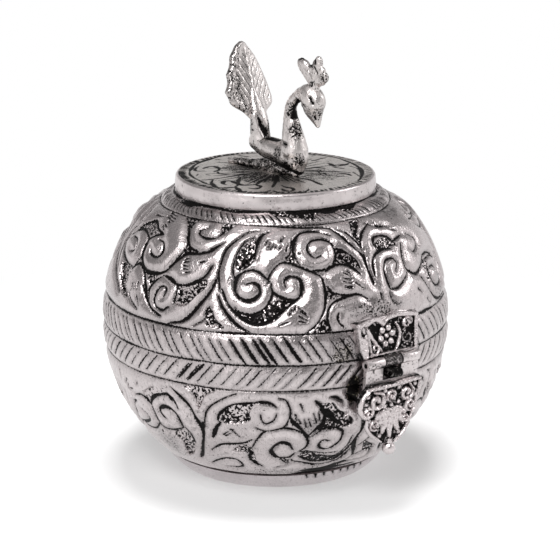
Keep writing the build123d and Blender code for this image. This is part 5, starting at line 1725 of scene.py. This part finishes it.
class PAANBOX_OT_stage(PaanBoxOperator):
    """Lay the pale floor, hang the soft lamps and set the camera"""

    bl_idname = "paan_box.stage"
    bl_label = "Stage"

    def execute(self, context):
        self.floor()
        self.world()
        self.lamp("key_lamp", (-0.55, -0.35, 0.85), 0.50, 6.0)
        self.lamp("side_lamp", (0.75, -0.45, 0.55), 0.35, 1.6)
        self.lamp("floor_lamp", (0.10, 0.14, 1.20), 0.45, 14.0, mirrored=False)
        self.camera()
        context.scene.view_settings.view_transform = "Standard"
        return {"FINISHED"}

    def floor(self):
        """A wide round table top, white to the eye and in reflections, that keeps the shadow."""
        azimuth, radii = azimuths(96)[None], column([10.0, 400.0, 4000.0])
        rows = [round_axis(azimuth, radii, -5.0), round_axis(azimuth, radii[::-1], 0.0)]
        floor = new_mesh("floor", *skin(np.vstack(rows))[:2])
        shader = begin("pale_floor")
        far = self.away_from_box(shader)
        seen = seen_rays(shader) * (0.70 + 0.30 * far - 0.37 * shader.ray("Camera") * (1 - far))
        matt = shader.add("ShaderNodeBsdfDiffuse", {}, {"Color": (*self.colours.floor, 1.0)})
        glow = shader.add("ShaderNodeEmission", {}, {"Color": WHITE, "Strength": 1.0})
        surface = shader.add("ShaderNodeMixShader", {}, {0: seen, 1: matt, 2: glow})
        shader.add("ShaderNodeOutputMaterial", {}, {"Surface": surface})
        floor.data.materials.append(bpy.data.materials["pale_floor"])

    def away_from_box(self, shader):
        """0 on the floor by the box, rising to 1 further out."""
        way = shader.add("ShaderNodeVectorMath", {"operation": "LENGTH"}, {0: shader.place()}, "Value")
        return way.between(0.10, 0.24)

    def world(self):
        """A studio as the metal sees it: bright round the horizon and overhead lamps, grey between."""
        world = bpy.data.worlds.new("studio")
        bpy.context.scene.world = world
        world.use_nodes = True
        shader = Shader(world.node_tree)
        way = shader.add("ShaderNodeTexCoord", output="Generated")
        height = shader.add("ShaderNodeSeparateXYZ", {}, {0: way}, 2)
        left = shader.towards(way, (-0.80, -0.35, 0.48))
        right = shader.towards(way, (0.72, -0.52, 0.45))
        front = shader.towards(way, (-0.58, -0.76, 0.28))
        level = height.between(0.05, 0.40, 1.0, 0.32) + height.between(0.70, 0.95, 0.0, 0.55)
        level = level + 1.0 * left.between(0.82, 0.95) + 0.4 * right.between(0.88, 0.97)
        level = level * (1 - 0.6 * front.between(0.86, 0.97))
        level = 0.25 + shader.ray("Glossy") * (level - 0.25)
        studio = shader.add("ShaderNodeBackground", {}, {"Color": WARM_WHITE, "Strength": level})
        white = shader.add("ShaderNodeBackground", {}, {"Color": WHITE, "Strength": 1.0})
        sky = shader.add("ShaderNodeMixShader", {}, {0: shader.ray("Camera"), 1: studio, 2: white})
        shader.add("ShaderNodeOutputWorld", {}, {"Surface": sky})

    def lamp(self, name, place, width, power, mirrored=True):
        """A square soft lamp aimed at the box. One that isn't mirrored lights the floor but isn't seen in
        the metal."""
        light = bpy.data.lights.new(name, "AREA")
        light.size, light.energy = width, power
        lamp = new_object(name, light)
        lamp.location = place
        lamp.visible_glossy = mirrored
        aim = Vector((0, 0, SEAM * MM)) - Vector(place)
        lamp.rotation_euler = aim.to_track_quat("-Z", "Y").to_euler()

    def camera(self):
        """A long lens aimed at the middle of the seam, shifted so that the seam sits a little low."""
        level = np.cos(VIEW_ELEVATION)
        side, front = np.sin(VIEW_AZIMUTH) * level, -np.cos(VIEW_AZIMUTH) * level
        back = Vector((side, front, np.sin(VIEW_ELEVATION)))
        data = bpy.data.cameras.new("camera")
        data.lens = LENS
        data.shift_x, data.shift_y = SHIFT_RIGHT / FRAME_WIDTH, SHIFT_UP / FRAME_WIDTH
        camera = new_object("camera", data)
        camera.location = Vector((0, 0, SEAM * MM)) + back * VIEW_DISTANCE * MM
        camera.rotation_euler = (-back).to_track_quat("-Z", "Y").to_euler()
        bpy.context.scene.camera = camera


def seen_rays(shader):
    """1 for rays from the eye, and for what polished or clear pieces show of the stage."""
    return (shader.ray("Camera") + shader.ray("Glossy") + shader.ray("Transmission")).between(0.0, 1.0)


# ---- sidebar ----
OPERATORS = [
    PAANBOX_OT_lid,
    PAANBOX_OT_bowl,
    PAANBOX_OT_foot,
    PAANBOX_OT_top,
    PAANBOX_OT_clasp,
    PAANBOX_OT_shield,
    PAANBOX_OT_peacock,
    PAANBOX_OT_fittings,
    PAANBOX_OT_stage,
]


class PAANBOX_PT_panel(bpy.types.Panel):
    """Lists the pieces' operators and their settings."""

    bl_idname = "PAANBOX_PT_panel"
    bl_label = "Paan Box"
    bl_space_type = "VIEW_3D"
    bl_region_type = "UI"
    bl_category = "Paan Box"

    def draw(self, context):
        for operator in OPERATORS:
            self.layout.operator(operator.bl_idname)
        for group in (context.scene.paan_box_sizes, context.scene.paan_box_colours):
            for name in group.__annotations__:
                self.layout.prop(group, name)


CLASSES = [PaanBoxSizes, PaanBoxColours, *OPERATORS, PAANBOX_PT_panel]


def register():
    """Registers the classes and hangs the settings on the scene."""
    for kind in CLASSES:
        bpy.utils.register_class(kind)
    bpy.types.Scene.paan_box_sizes = PointerProperty(type=PaanBoxSizes)
    bpy.types.Scene.paan_box_colours = PointerProperty(type=PaanBoxColours)


def unregister():
    """Takes the settings off the scene and the classes out."""
    del bpy.types.Scene.paan_box_sizes
    del bpy.types.Scene.paan_box_colours
    for kind in reversed(CLASSES):
        bpy.utils.unregister_class(kind)


def main():
    """Builds every piece and the stage."""
    register()
    for operator in OPERATORS:
        getattr(bpy.ops.paan_box, operator.bl_idname.split(".")[1])()


if __name__ == "__main__":
    main()
